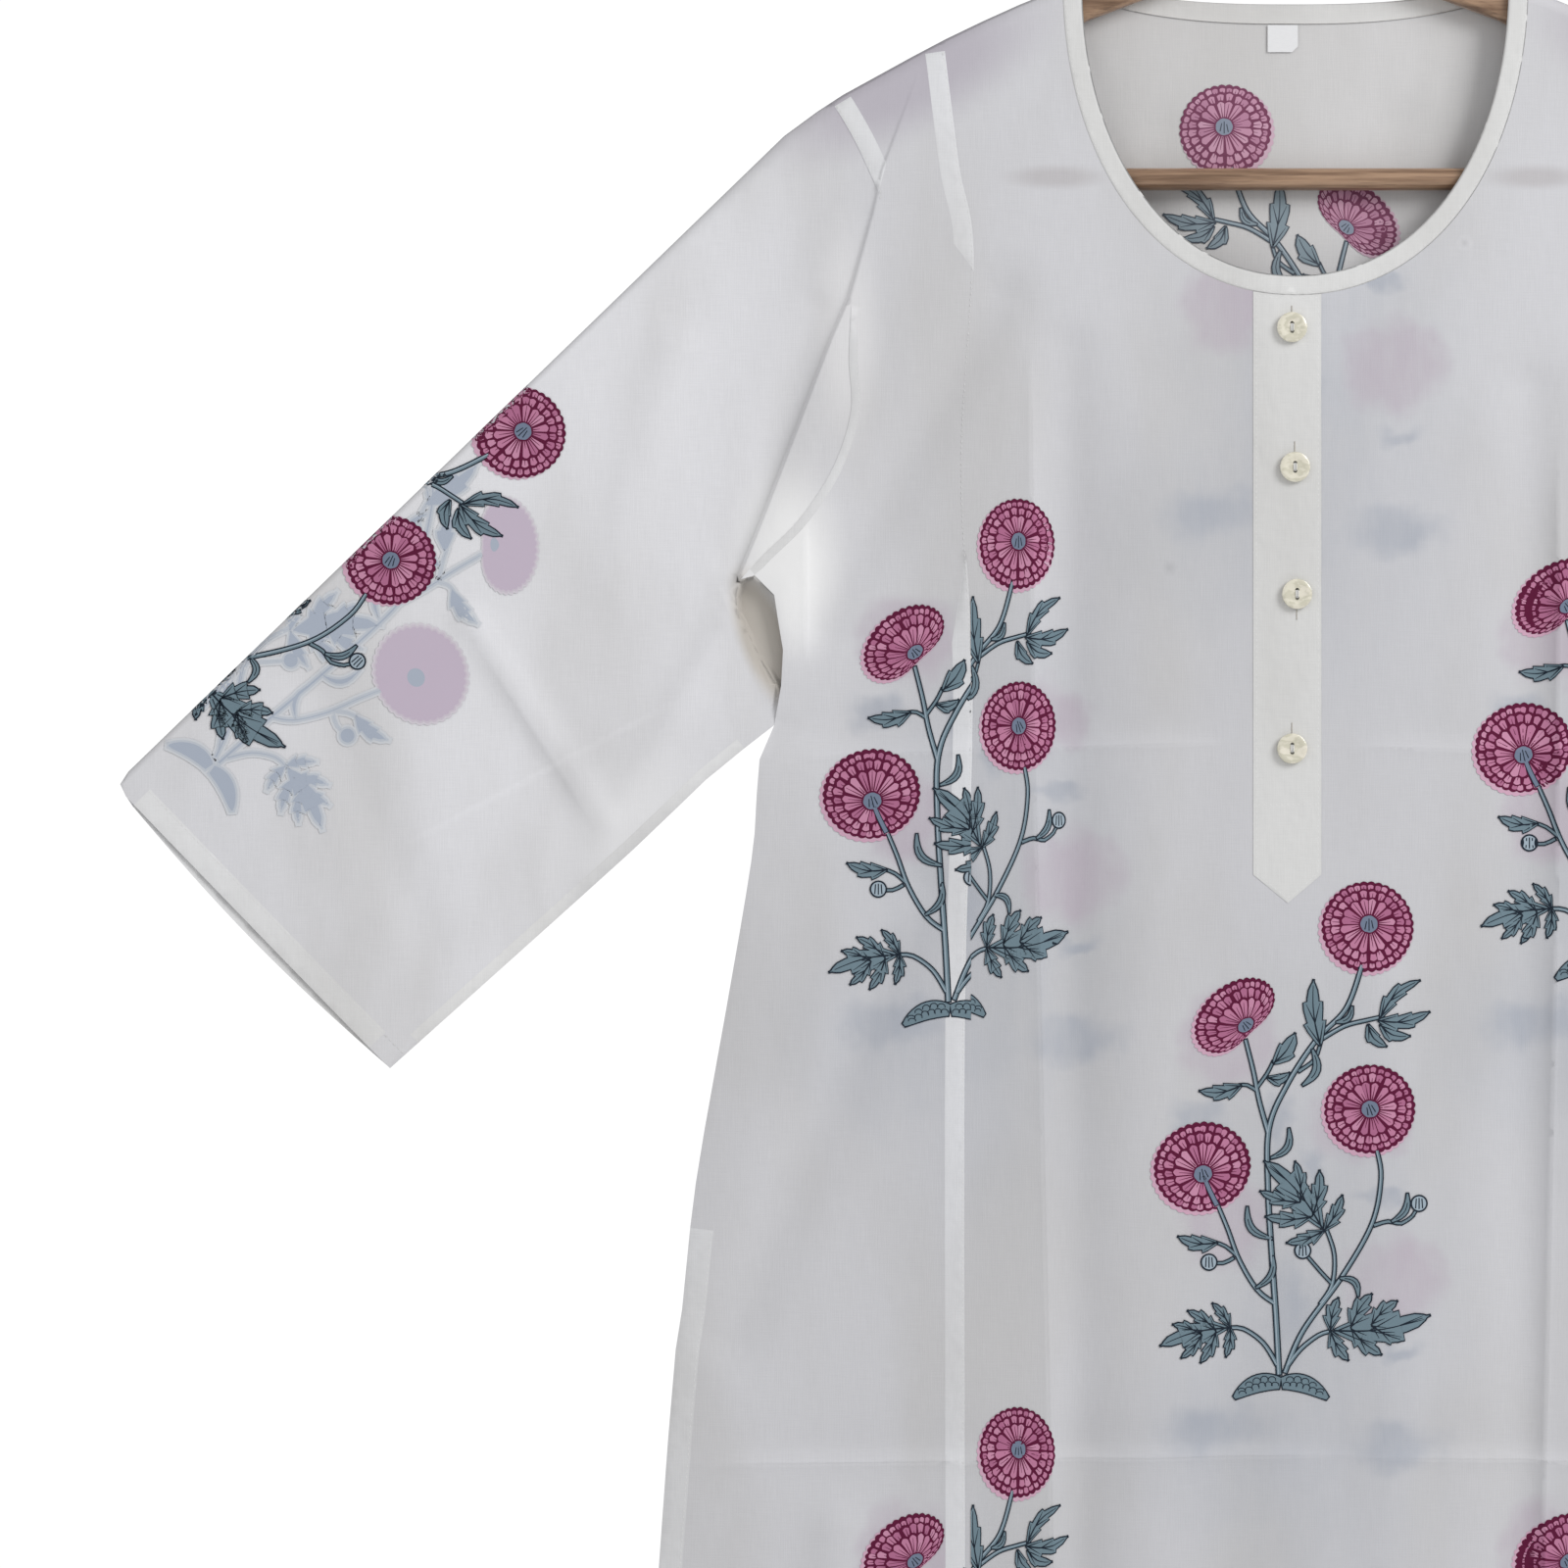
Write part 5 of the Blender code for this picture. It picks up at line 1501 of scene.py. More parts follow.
class Nodes:
    """Short names for building a node tree."""

    def __init__(self, tree):
        self.tree = tree

    def add(self, kind, inputs=(), **values):
        node = self.tree.nodes.new(kind)
        for name, value in values.items():
            setattr(node, name, value)
        for socket, value in dict(inputs).items():
            self.feed(node.inputs[socket], value)
        return node

    def feed(self, socket, value):
        if isinstance(value, bpy.types.NodeSocket):
            self.tree.links.new(value, socket)
        else:
            socket.default_value = value

    def math(self, operation, a, b=0.0, c=0.0):
        return self.add("ShaderNodeMath", {0: a, 1: b, 2: c}, operation=operation).outputs[0]

    def vector(self, operation, a, b=(0, 0, 0)):
        node = self.add("ShaderNodeVectorMath", {0: a, 1: b}, operation=operation)
        single = operation in ("LENGTH", "DOT_PRODUCT")
        return node.outputs["Value" if single else "Vector"]

    def blend(self, share, a, b):
        """Two colours mixed. One that is a tuple has values from 0 to 255."""
        node = self.add("ShaderNodeMix", data_type="RGBA")
        for socket, value in ((0, share), (6, a), (7, b)):
            self.feed(node.inputs[socket], (*srgb(*value), 1.0) if isinstance(value, tuple) else value)
        return node.outputs[2]

    def ramp(self, value, low, high, to_low=0.0, to_high=1.0):
        inputs = {"Value": value, "From Min": low, "From Max": high, "To Min": to_low, "To Max": to_high}
        return self.add("ShaderNodeMapRange", inputs, interpolation_type="SMOOTHSTEP").outputs["Result"]

    def noise(self, where, scale, detail=2.0, rough=0.5):
        inputs = {"Vector": where, "Scale": scale, "Detail": detail, "Roughness": rough}
        return self.add("ShaderNodeTexNoise", inputs).outputs[0]

    def grain(self, where, name):
        stretch, *rest = NOISES[name]
        return self.noise(self.vector("MULTIPLY", where, stretch), *rest)

    def bump(self, height, strength, distance):
        inputs = {"Strength": strength, "Distance": distance, "Height": height}
        return self.add("ShaderNodeBump", inputs).outputs["Normal"]

    def parts(self, where):
        return self.add("ShaderNodeSeparateXYZ", {0: where}).outputs

    def place(self):
        return self.add("ShaderNodeTexCoord").outputs["Object"]


def new_group(name, inputs, outputs):
    group = bpy.data.node_groups.new(name, "ShaderNodeTree")
    for label, kind in inputs:
        group.interface.new_socket(label, in_out="INPUT", socket_type=kind)
    for label, kind in outputs:
        group.interface.new_socket(label, in_out="OUTPUT", socket_type=kind)
    nodes = Nodes(group)
    return group, nodes, nodes.add("NodeGroupInput"), nodes.add("NodeGroupOutput")


def surface(name, tint, roughness, **values):
    """A material with one Principled shader, its tint from 0 to 255. Returns it, its nodes and the shader."""
    colour = srgb(*tint)
    look = bpy.data.materials.new(name)
    look.use_nodes = True
    look.diffuse_color = (*colour, 1.0)
    shader = look.node_tree.nodes["Principled BSDF"]
    shader.inputs["Base Color"].default_value = (*colour, 1.0)
    shader.inputs["Roughness"].default_value = roughness
    for label, value in values.items():
        shader.inputs[label.replace("_", " ")].default_value = value
    return look, Nodes(look.node_tree), shader


def weave_group():
    """Fine plain-woven cotton: thick and thin yarns both ways, uneven tone, and small crumples."""
    group, n, given, out = new_group(
        "fine cotton weave",
        [("Where", "NodeSocketVector")],
        [("Slub", "NodeSocketFloat"), ("Tone", "NodeSocketFloat"), ("Height", "NodeSocketFloat")],
    )
    where = given.outputs["Where"]
    warp, weft, tone, crumple, fine = (n.grain(where, k) for k in ("warp", "weft", "tone", "crumple", "fine"))
    slub = n.math("MULTIPLY_ADD", warp, SLUB_SHARES[0], n.math("MULTIPLY", weft, SLUB_SHARES[1]))
    height = n.math("MULTIPLY_ADD", crumple, CRUMPLE_SHARE, n.math("MULTIPLY", fine, FINE_SHARE))
    height = n.math("MULTIPLY_ADD", slub, SLUB_SHARE, height)
    for label, value in (("Slub", slub), ("Tone", tone), ("Height", height)):
        n.feed(out.inputs[label], value)
    return group


def spot(n, where, row, soft, lean=0.0):
    """1 inside an ellipse in the hanging plane, falling softly to 0 outside it. The row gives its centre's x
    and z and its half width and height, in metres, and lean turns it, in degrees."""
    x, z, across, up = row
    c, s = math.cos(math.radians(lean)), math.sin(math.radians(lean))
    off = n.vector("SUBTRACT", where, (x, 0.0, z))
    along = n.vector("DOT_PRODUCT", off, (c / across, 0.0, s / across))
    beside = n.vector("DOT_PRODUCT", off, (-s / up, 0.0, c / up))
    reach = n.vector("LENGTH", n.add("ShaderNodeCombineXYZ", {"X": along, "Y": beside}).outputs[0])
    return n.ramp(reach, 1.0 - soft, 1.0 + soft, 1.0, 0.0)


def ghost_group():
    """The plant on the other layer as it shows through the cloth: soft flower heads and soft leaves."""
    group, n, given, out = new_group(
        "plant seen through",
        [("Where", "NodeSocketVector")],
        [("Flowers", "NodeSocketFloat"), ("Leaves", "NodeSocketFloat"), ("Haze", "NodeSocketFloat")],
    )
    where = given.outputs["Where"]
    drift = n.add("ShaderNodeTexNoise", {"Vector": where, "Scale": GHOST_DRIFT_SCALE}).outputs["Color"]
    drift = n.vector("SUBTRACT", drift, (0.5, 0.5, 0.5))
    drift = n.vector("MULTIPLY", drift, (GHOST_DRIFT, 0.0, GHOST_DRIFT))
    where = n.vector("ADD", where, drift)
    for label, (rows, soft) in GHOST_SHAPES.items():
        total = None
        for row in rows:
            made = spot(n, where, tuple(v * PRINT_SCALE * MM for v in row), soft)
            total = made if total is None else n.math("MAXIMUM", total, made)
        n.feed(out.inputs[label], total)
    return group


def ghost_place(n, where, row):
    """Where a point lies in the plant that shows through: its foot at the origin, growing up. The plants
    repeat every (across, down) and stop at the height "top", which the second value gives as a mask."""
    ghost = dict(zip(GHOST_COLUMNS, row))
    off = n.vector("SUBTRACT", where, (ghost["x"] * MM, 0.0, ghost["z"] * MM))
    half, down = ghost["across"] * MM / 2, ghost["down"] * MM
    x = n.vector("DOT_PRODUCT", off, (ghost["flip"], 0.0, 0.0))
    x = n.math("WRAP", x, half, -half)
    z = n.vector("DOT_PRODUCT", off, (0.0, 0.0, 1.0))
    z = n.math("WRAP", z, down * (1 - GHOST_BELOW), -down * GHOST_BELOW)
    local = n.add("ShaderNodeCombineXYZ", {"X": x, "Z": z}).outputs[0]
    height = n.parts(where)["Z"]
    return local, n.ramp(height, ghost["top"] * MM, (ghost["top"] + GHOST_TOP_FADE) * MM, 1.0, 0.0)


def both_sides(rows):
    """Each row for the left and for the right of the tunic, its place and its lean mirrored."""
    mirror = []
    for x, z, across, up, lean, *rest in rows:
        mirror += [(side * x, z, across, up, side * lean, *rest) for side in (-1, 1)]
    return mirror


def printed_cotton(name, ghosts, painted_light_and_shade=(), tint=COTTON):
    """The ivory cotton. Each ghost row places the plants that show through from the other layer. Each row of
    painted light and shade is a soft patch painted on the cloth's front: painted shade where the hanger lies
    behind it or in the hollow under the arm, and painted light at the laps."""
    look, n, shader = surface(name, tint, roughness=0.92, Sheen_Weight=0.1, Specular_IOR_Level=0.25)
    where = n.place()
    weave = n.add("ShaderNodeGroup", {"Where": where}, node_tree=WEAVE)
    colour = cotton_tone(n, where, weave, tint, COTTON_PAINTED_LIGHT)
    haze = n.ramp(n.grain(where, "haze"), *RAMPS["haze"])
    for row in ghosts:
        local, there = ghost_place(n, where, row)
        seen = n.add("ShaderNodeGroup", {"Where": local}, node_tree=GHOST)
        for label, ink, share in GHOST_SHARES:
            mask = n.math("MULTIPLY", seen.outputs[label], n.math("MULTIPLY", haze, share))
            colour = n.blend(n.math("MULTIPLY", mask, there), colour, ink)
    # Painted light and shade, only on the cloth in front of the hanger's plane
    if painted_light_and_shade:
        front = n.ramp(n.parts(where)["Y"], 0.0, MM, 1.0, 0.0)
    for row in painted_light_and_shade:
        painted_mark = dict(zip(PAINTED_MARK_COLUMNS, row))
        place = tuple(painted_mark[k] * MM for k in ("x", "z", "across", "up"))
        seen = spot(n, where, place, painted_mark["soft"], painted_mark["lean"])
        mask = n.math("MULTIPLY", seen, n.math("MULTIPLY", front, painted_mark["share"]))
        colour = n.blend(mask, colour, painted_mark["ink"])
    n.feed(shader.inputs["Base Color"], colour)
    n.feed(shader.inputs["Normal"], n.bump(weave.outputs["Height"], *BUMPS["cotton"]))
    return look


def cotton_tone(n, where, weave, body, side):
    """Painted light: the cloth is painted brighter, towards the tint side, on the sleeves and the chest,
    where less lies behind it and light comes through. It is also mottled.
    """
    parts = n.parts(where)
    out = n.math("ABSOLUTE", parts["X"])
    past_body = n.ramp(out, *RAMPS["past_body"])
    high = n.math("MAXIMUM", n.ramp(parts["Z"], *RAMPS["chest_height"]), past_body)
    outward = n.math("MULTIPLY", n.ramp(out, *RAMPS["body_side"]), n.ramp(out, *RAMPS["towards_cuff"]))
    chest = n.ramp(parts["Z"], *RAMPS["upper_chest"])
    colour = n.blend(n.math("MAXIMUM", n.math("MULTIPLY", outward, high), chest), body, side)
    colour = n.blend(n.ramp(weave.outputs["Tone"], *RAMPS["mottle"]), colour, COTTON_SHADE)
    return n.blend(n.ramp(weave.outputs["Slub"], *RAMPS["yarns"]), colour, YARN_SHADE)


def doubled_cotton(name, tint):
    """The same cotton where it lies double, in the binding, placket, hems and seams: brighter and denser."""
    look, n, shader = surface(name, tint, roughness=0.9, Sheen_Weight=0.1, Specular_IOR_Level=0.25)
    where = n.place()
    weave = n.add("ShaderNodeGroup", {"Where": where}, node_tree=WEAVE)
    # The doubled cloth's painted light tint, as much brighter as the plain cotton's
    side = tuple(min(c + s - b, BRIGHTEST_DOUBLE) for c, s, b in zip(tint, COTTON_PAINTED_LIGHT, COTTON))
    n.feed(shader.inputs["Base Color"], cotton_tone(n, where, weave, tint, side))
    puckers = n.math("MULTIPLY_ADD", n.grain(where, "puckers"), PUCKER_SHARE, weave.outputs["Height"])
    n.feed(shader.inputs["Normal"], n.bump(puckers, *BUMPS["doubled"]))
    return look


def hanger_wood():
    """Varnished brown wood, its grain running along the arms."""
    look, n, shader = surface("hanger_wood", WOOD, roughness=0.38, Coat_Weight=0.35, Coat_Roughness=0.22)
    where = n.place()
    streaks, pores = n.grain(where, "wood_grain"), n.grain(where, "wood_pores")
    colour = n.blend(n.ramp(streaks, *RAMPS["wood_grain"]), WOOD_DARK, WOOD_LIGHT)
    colour = n.blend(n.ramp(pores, *RAMPS["wood_pores"]), colour, WOOD_PORE)
    n.feed(shader.inputs["Base Color"], colour)
    n.feed(shader.inputs["Normal"], n.bump(pores, *BUMPS["wood"]))
    return look


def button_pearl():
    """Polished shell: cream, with soft bands."""
    look, n, shader = surface("button_pearl", PEARL, roughness=0.22, Coat_Weight=0.6, Coat_Roughness=0.12)
    drift = n.grain(n.place(), "pearl")
    bands = n.math("SINE", n.math("MULTIPLY", drift, PEARL_BANDS))
    colour = n.blend(n.ramp(bands, *RAMPS["pearl_bands"]), PEARL_LIGHT, PEARL_DARK)
    colour = n.blend(n.ramp(drift, *RAMPS["pearl_glow"]), colour, PEARL_GLOW)
    n.feed(shader.inputs["Base Color"], colour)
    n.feed(shader.inputs["Normal"], n.bump(bands, *BUMPS["pearl"]))
    return look


def hook_steel():
    """Drawn wire, its fine lines running up the shank."""
    look, n, shader = surface("hook_steel", STEEL, roughness=0.28, Metallic=1.0)
    n.feed(shader.inputs["Roughness"], n.ramp(n.grain(n.place(), "drawn_steel"), *RAMPS["drawn_steel"]))
    return look


def tape_look():
    """The smooth white tape of the size tab, left bare."""
    look, n, shader = surface("tab_tape", TAPE, roughness=0.55)
    ribs = n.grain(n.place(), "tape_ribs")
    n.feed(shader.inputs["Base Color"], n.blend(ribs, TAPE_DARK, TAPE_LIGHT))
    n.feed(shader.inputs["Normal"], n.bump(ribs, *BUMPS["tape"]))
    return look


def thread(name, tint):
    return surface(name, tint, roughness=0.7)[0]


def print_inks(paler=0.0):
    """The print's inks, mixed a share of the way to the cloth where they show on its inner face."""
    inks = {}
    for name, tint in INKS.items():
        mixed = tuple(c + (p - c) * paler for c, p in zip(tint, COTTON))
        label = f"ink_{name}" + ("_inside" if paler else "")
        inks[name] = surface(label, mixed, roughness=0.9, Specular_IOR_Level=0.2)[0]
    return inks


PRINT_FACING = {front_depth: 1, back_depth: -1}
WEAVE = weave_group()
GHOST = ghost_group()


# ---------------------------------------------------------------- outlines of the pieces


def mirrored(path):
    return to_side(path, -1)


def hem_path(x_from, x_to):
    count = max(2, math.ceil(abs(x_to - x_from) / EDGE_STEP) + 1)
    return [(float(x), float(hem_height(x))) for x in np.linspace(x_from, x_to, count)]


def between(path, first, last):
    """The corners of a path whose out lies strictly between two values."""
    low, high = min(first, last), max(first, last)
    return [p for p in path if low + CORNER_CLEAR < p[0] < high - CORNER_CLEAR]


def cuff_path(drop):
    """The cuff from its top corner to its bottom one. The corner on the fold is rounded."""
    top, bottom = np.array(CUFF_TOP), np.array(CUFF_BOTTOM)
    run = (bottom - top) / np.linalg.norm(bottom - top)
    away = np.array([-run[1], run[0]])
    shares = np.linspace(0, 1, CUFF_POINTS)
    path = [tuple(top + (bottom - top) * t + away * drop * math.sin(math.pi * t)) for t in shares]
    along_top = np.array(TOP_PATH[-2]) - top
    before, after = along_top / np.linalg.norm(along_top) * CUFF_CORNER, run * CUFF_CORNER
    corner = [tuple(top + before), tuple(top + (before + after) * CUFF_CORNER_ROUND), tuple(top + after)]
    return corner + [p for p in path if math.dist(p, CUFF_TOP) > CUFF_CORNER + CUFF_POINT_GAP]


TOP_EDGE = spaced(TOP_PATH, EDGE_STEP)
SIDE_EDGE = spaced(curved(SIDE, EDGE_CURVE_STEP), EDGE_STEP)
UNDER_EDGE = spaced(curved(SLEEVE_UNDER, EDGE_CURVE_STEP), EDGE_STEP)


def sleeve_outline(side, armhole, drop):
    top = between(TOP_EDGE, ARMHOLE_TOP[0], CUFF_TOP[0] - CUFF_CORNER)
    return to_side(top + cuff_path(drop) + UNDER_EDGE[::-1][1:] + armhole[::-1][1:], side)


def front_middle_outline():
    neck = neck_curve(BINDING_WIDTH)
    shoulder = [SEAM_PATH[0]] + between(TOP_EDGE, neck[0][0], SEAM_PATH[0][0])[::-1]
    half = SEAM_PATH[::-1][1:-1] + shoulder + neck
    return mirrored(half)[:-1] + half[::-1] + hem_path(SEAM_PATH[-1][0], -SEAM_PATH[-1][0])


def front_side_outline(side):
    shoulder = [SEAM_PATH[0]] + between(TOP_EDGE, SEAM_PATH[0][0], ARMHOLE_TOP[0])
    edge = shoulder + FRONT_ARMHOLE_PATH + HOLLOW_EDGE[1:] + SIDE_EDGE[1:]
    hem = hem_path(SIDE_EDGE[-1][0], SEAM_PATH[-1][0])[1:]
    return to_side(edge + hem + SEAM_PATH[::-1][1:-1], side)


def back_outline():
    neck = back_neck_curve(BINDING_WIDTH)[::-1]
    shoulder = between(TOP_EDGE, neck[-1][0], ARMHOLE_TOP[0])
    half = neck + shoulder + BACK_ARMHOLE_PATH + SIDE_EDGE[1:]
    return half + hem_path(SIDE_EDGE[-1][0], -SIDE_EDGE[-1][0])[1:-1] + mirrored(half)[::-1][:-1]


def binding_outline(curve):
    outer, inner = curve(BINDING_WIDTH), curve(0.0)
    return outer + mirrored(outer)[::-1][1:] + mirrored(inner) + inner[::-1][1:]


def placket_outline():
    left, right = PLACKET_LEFT, PLACKET_RIGHT
    down = spaced([(left, neck_height_at(left)), (left, PLACKET_SHOULDER)], PLACKET_STEP * 2)
    up = spaced([(right, PLACKET_SHOULDER), (right, neck_height_at(right))], PLACKET_STEP * 2)
    top = [(x, neck_height_at(x)) for x in np.linspace(right, left, PLACKET_TOP_POINTS)[1:-1]]
    return down + [PLACKET_TIP] + up + top


def turn_lines(turn, sides=(1, -1)):
    """Rows along the shoulders and sleeve tops where the cloth turns over the fold."""
    return [to_side(offset(TOP_PATH, -row * turn), side) for side in sides for row in TURN_ROWS]


def crease_paths(table):
    """The creases and a row on each side of them."""
    paths = []
    for row in table:
        crease = dict(zip(CREASE_COLUMNS, row))
        path = spaced(crease_ends(crease), EDGE_STEP)
        paths += [offset(path, by) for by in CREASE_ROWS]
    return paths


def drag_paths(side):
    """The drag line beside the armhole, where its lap steps down, and the rim of the hollow under the arm."""
    path = spaced(DRAG_PATH, EDGE_STEP)
    steps = [offset(path, by) for by in (0.0, DRAG_LIP, DRAG_LIP + DRAG_RAMP / 2, DRAG_LIP + DRAG_RAMP)]
    rim = spaced(HOLLOW_RIM, HOLLOW_STEP)
    walls = [offset(rim, -HOLLOW_WALL * share) for share in HOLLOW_WALL_ROWS]
    return [to_side(line, side) for line in (*steps, rim, *walls)]


# ---------------------------------------------------------------- strips, stitches and small parts


def strip(path, first, last):
    """The closed outline between two rows beside a path, each so far to its left."""
    return offset(path, first) + offset(path, last)[::-1]


def part_of(path, high, low):
    return [p for p in path if low <= p[1] <= high]


def sewn(name, runs, depth, side, rise, look):
    """Rows of stitches: each a short raised thread, pointed at both ends where it goes into the cloth."""
    points, faces, normals = [], [], []
    for run in runs:
        fine = np.array(resampled(run, STITCH_PITCH))
        for a, b in zip(fine[:-1], fine[1:]):
            along = (b - a) / np.linalg.norm(b - a)
            across = np.array([-along[1], along[0]])
            middle, half = (a + b) / 2, along * STITCH / 2
            wide, top = across * STITCH_HALF, half * STITCH_TOP
            corners = [-half, wide, half, -wide, -top, top]
            flat = np.array([middle + corner for corner in corners])
            lifts = rise + np.array([0.0, 0.0, 0.0, 0.0, STITCH_RISE, STITCH_RISE])
            start = len(points) * len(flat)
            points.append(np.stack([flat[:, 0], depth(flat, lifts), flat[:, 1]], 1))
            faces += [tuple(start + c for c in (f if side > 0 else f[::-1])) for f in STITCH_FACES]
    return made_mesh(name, np.concatenate(points), faces, [look])


def turned_button(name, x, height, looks):
    """A button with a dished face, two holes and the thread through them."""
    centre = float(front_depth(np.array([[x, height]]), PLACKET_RISE)[0]) - BUTTON_GAP - BUTTON_THICK / 2
    mesh = bmesh.new()
    rings = []
    for reach, depth in BUTTON_PROFILE:
        if reach == 0:
            rings.append([mesh.verts.new((0, depth * BUTTON_THICK / 2, 0))])
            continue
        angles = [2 * math.pi * i / BUTTON_TURNS for i in range(BUTTON_TURNS)]
        r, d = reach * BUTTON_RADIUS, depth * BUTTON_THICK / 2
        rings.append([mesh.verts.new((r * math.cos(t), d, r * math.sin(t))) for t in angles])
    for a, b in zip(rings, rings[1:]):
        for i in range(BUTTON_TURNS):
            j = (i + 1) % BUTTON_TURNS
            corners = [a[i % len(a)], a[j % len(a)], b[j % len(b)], b[i % len(b)]]
            mesh.faces.new(list(dict.fromkeys(corners)))
    bmesh.ops.recalc_face_normals(mesh, faces=mesh.faces)
    bmesh.ops.scale(mesh, vec=(MM, MM, MM), verts=mesh.verts)
    bmesh.ops.translate(mesh, vec=(x * MM, centre * MM, height * MM), verts=mesh.verts)
    data = bpy.data.meshes.new(name)
    mesh.to_mesh(data)
    mesh.free()
    button = placed(name, data)
    data.materials.append(looks["pearl"])
    cutters = []
    for sign in (-1, 1):
        radius, depth = BUTTON_HOLE * MM, 4 * BUTTON_THICK * MM
        bpy.ops.mesh.primitive_cylinder_add(vertices=BUTTON_HOLE_SIDES, radius=radius, depth=depth)
        cutter = bpy.context.object
        cutter.rotation_euler = (math.radians(90), 0, 0)
        cutter.location = (x * MM, centre * MM, (height + sign * BUTTON_SPREAD / 2) * MM)
        cut = button.modifiers.new("hole", "BOOLEAN")
        cut.solver = "EXACT"
        cut.object = cutter
        cutters.append(cutter)
    bpy.context.view_layer.update()
    button.data = bpy.data.meshes.new_from_object(button.evaluated_get(bpy.context.evaluated_depsgraph_get()))
    button.data.name = name
    button.modifiers.clear()
    for cutter in cutters:
        bpy.data.objects.remove(cutter)
    button.data.shade_smooth()
    button.data.set_sharp_from_angle(angle=math.radians(BUTTON_SHARP))
    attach(button, "root")
    face = centre - BUTTON_THICK / 2 * BUTTON_DISH
    back = centre + BUTTON_THICK / 2 + BUTTON_GAP
    strands = []
    for k in THREAD_PLACES:
        reach = BUTTON_SPREAD / 2
        places = [
            (k, back, -reach),
            (k, centre, -reach + THREAD_IN),
            (k * THREAD_SPREAD[0], face - THREAD_PROUD[0], -reach * THREAD_OUT),
            (k * THREAD_SPREAD[1], face - THREAD_PROUD[1], 0.0),
            (k * THREAD_SPREAD[0], face - THREAD_PROUD[0], reach * THREAD_OUT),
            (k, centre, reach - THREAD_IN),
            (k, back, reach),
        ]
        strands.append([(x + px, py, height + pz) for px, py, pz in places])
    stitch = round_strands(name + "_thread", strands, THREAD_RADIUS, looks["thread"])
    return button, stitch


def round_strands(name, strands, radius, look):
    curve = bpy.data.curves.new(name, "CURVE")
    curve.dimensions = "3D"
    curve.bevel_depth = radius * MM
    curve.bevel_resolution = 2
    for points in strands:
        spline = curve.splines.new("POLY")
        spline.points.add(len(points) - 1)
        for point, place in zip(spline.points, points):
            point.co = (*(v * MM for v in place), 1.0)
    curve.materials.append(look)
    made = placed(name, curve)
    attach(made, "root")
    return made


# ---------------------------------------------------------------- the garment


def seam_band():
    """The seam allowance beside the panel seam, outside it."""
    top, stop, again = PANEL_BAND_FROM
    high = part_of(SEAM_PATH, top, stop)
    low = part_of(SEAM_PATH, again, hem_height(SEAM_PATH[-1][0]) + HEM_BAND + HEM_CLEAR)
    outer = [p for p in offset(high, PANEL_BAND) if p[1] > stop + BAND_TAPER]
    low_outer = [p for p in offset(low, PANEL_BAND) if p[1] < again - LOW_BAND_TAPER]
    return [offset(high, -BAND_OVER) + outer[::-1], offset(low, -BAND_OVER) + low_outer[::-1]]


def armhole_band():
    """The seam allowance inside the armhole seam, down to where the draped lap covers it."""
    seam = part_of(FRONT_ARMHOLE_PATH, ARMHOLE_TOP[1] - BAND_BELOW_TOP, ARMHOLE_BAND_TO[0])
    inner = [p for p in offset(seam, -ARMHOLE_BAND) if p[1] > ARMHOLE_BAND_TO[1]]
    return offset(seam, BAND_OVER) + inner[::-1]


def low_armhole():
    """The armhole seam where it comes out from under the drag line again."""
    return part_of(FRONT_ARMHOLE_PATH, LOW_SEAM_FROM, ARMHOLE_FOOT[1] + LOW_SEAM_ABOVE_FOOT)


def low_armhole_band():
    """Its seam allowance starts in a point at the drag line."""
    seam = low_armhole()
    inner = [p for p in offset(seam, -LOW_SEAM_BAND) if p[1] < LOW_SEAM_FROM - BAND_TAPER]
    return offset(seam, BAND_OVER) + inner[::-1]


def slit_band():
    edge = part_of(SIDE_EDGE, SLIT_TOP, hem_height(SIDE_EDGE[-1][0]) + SLIT_ABOVE_HEM)
    return strip(edge, BAND_OVER, -SLIT_BAND)


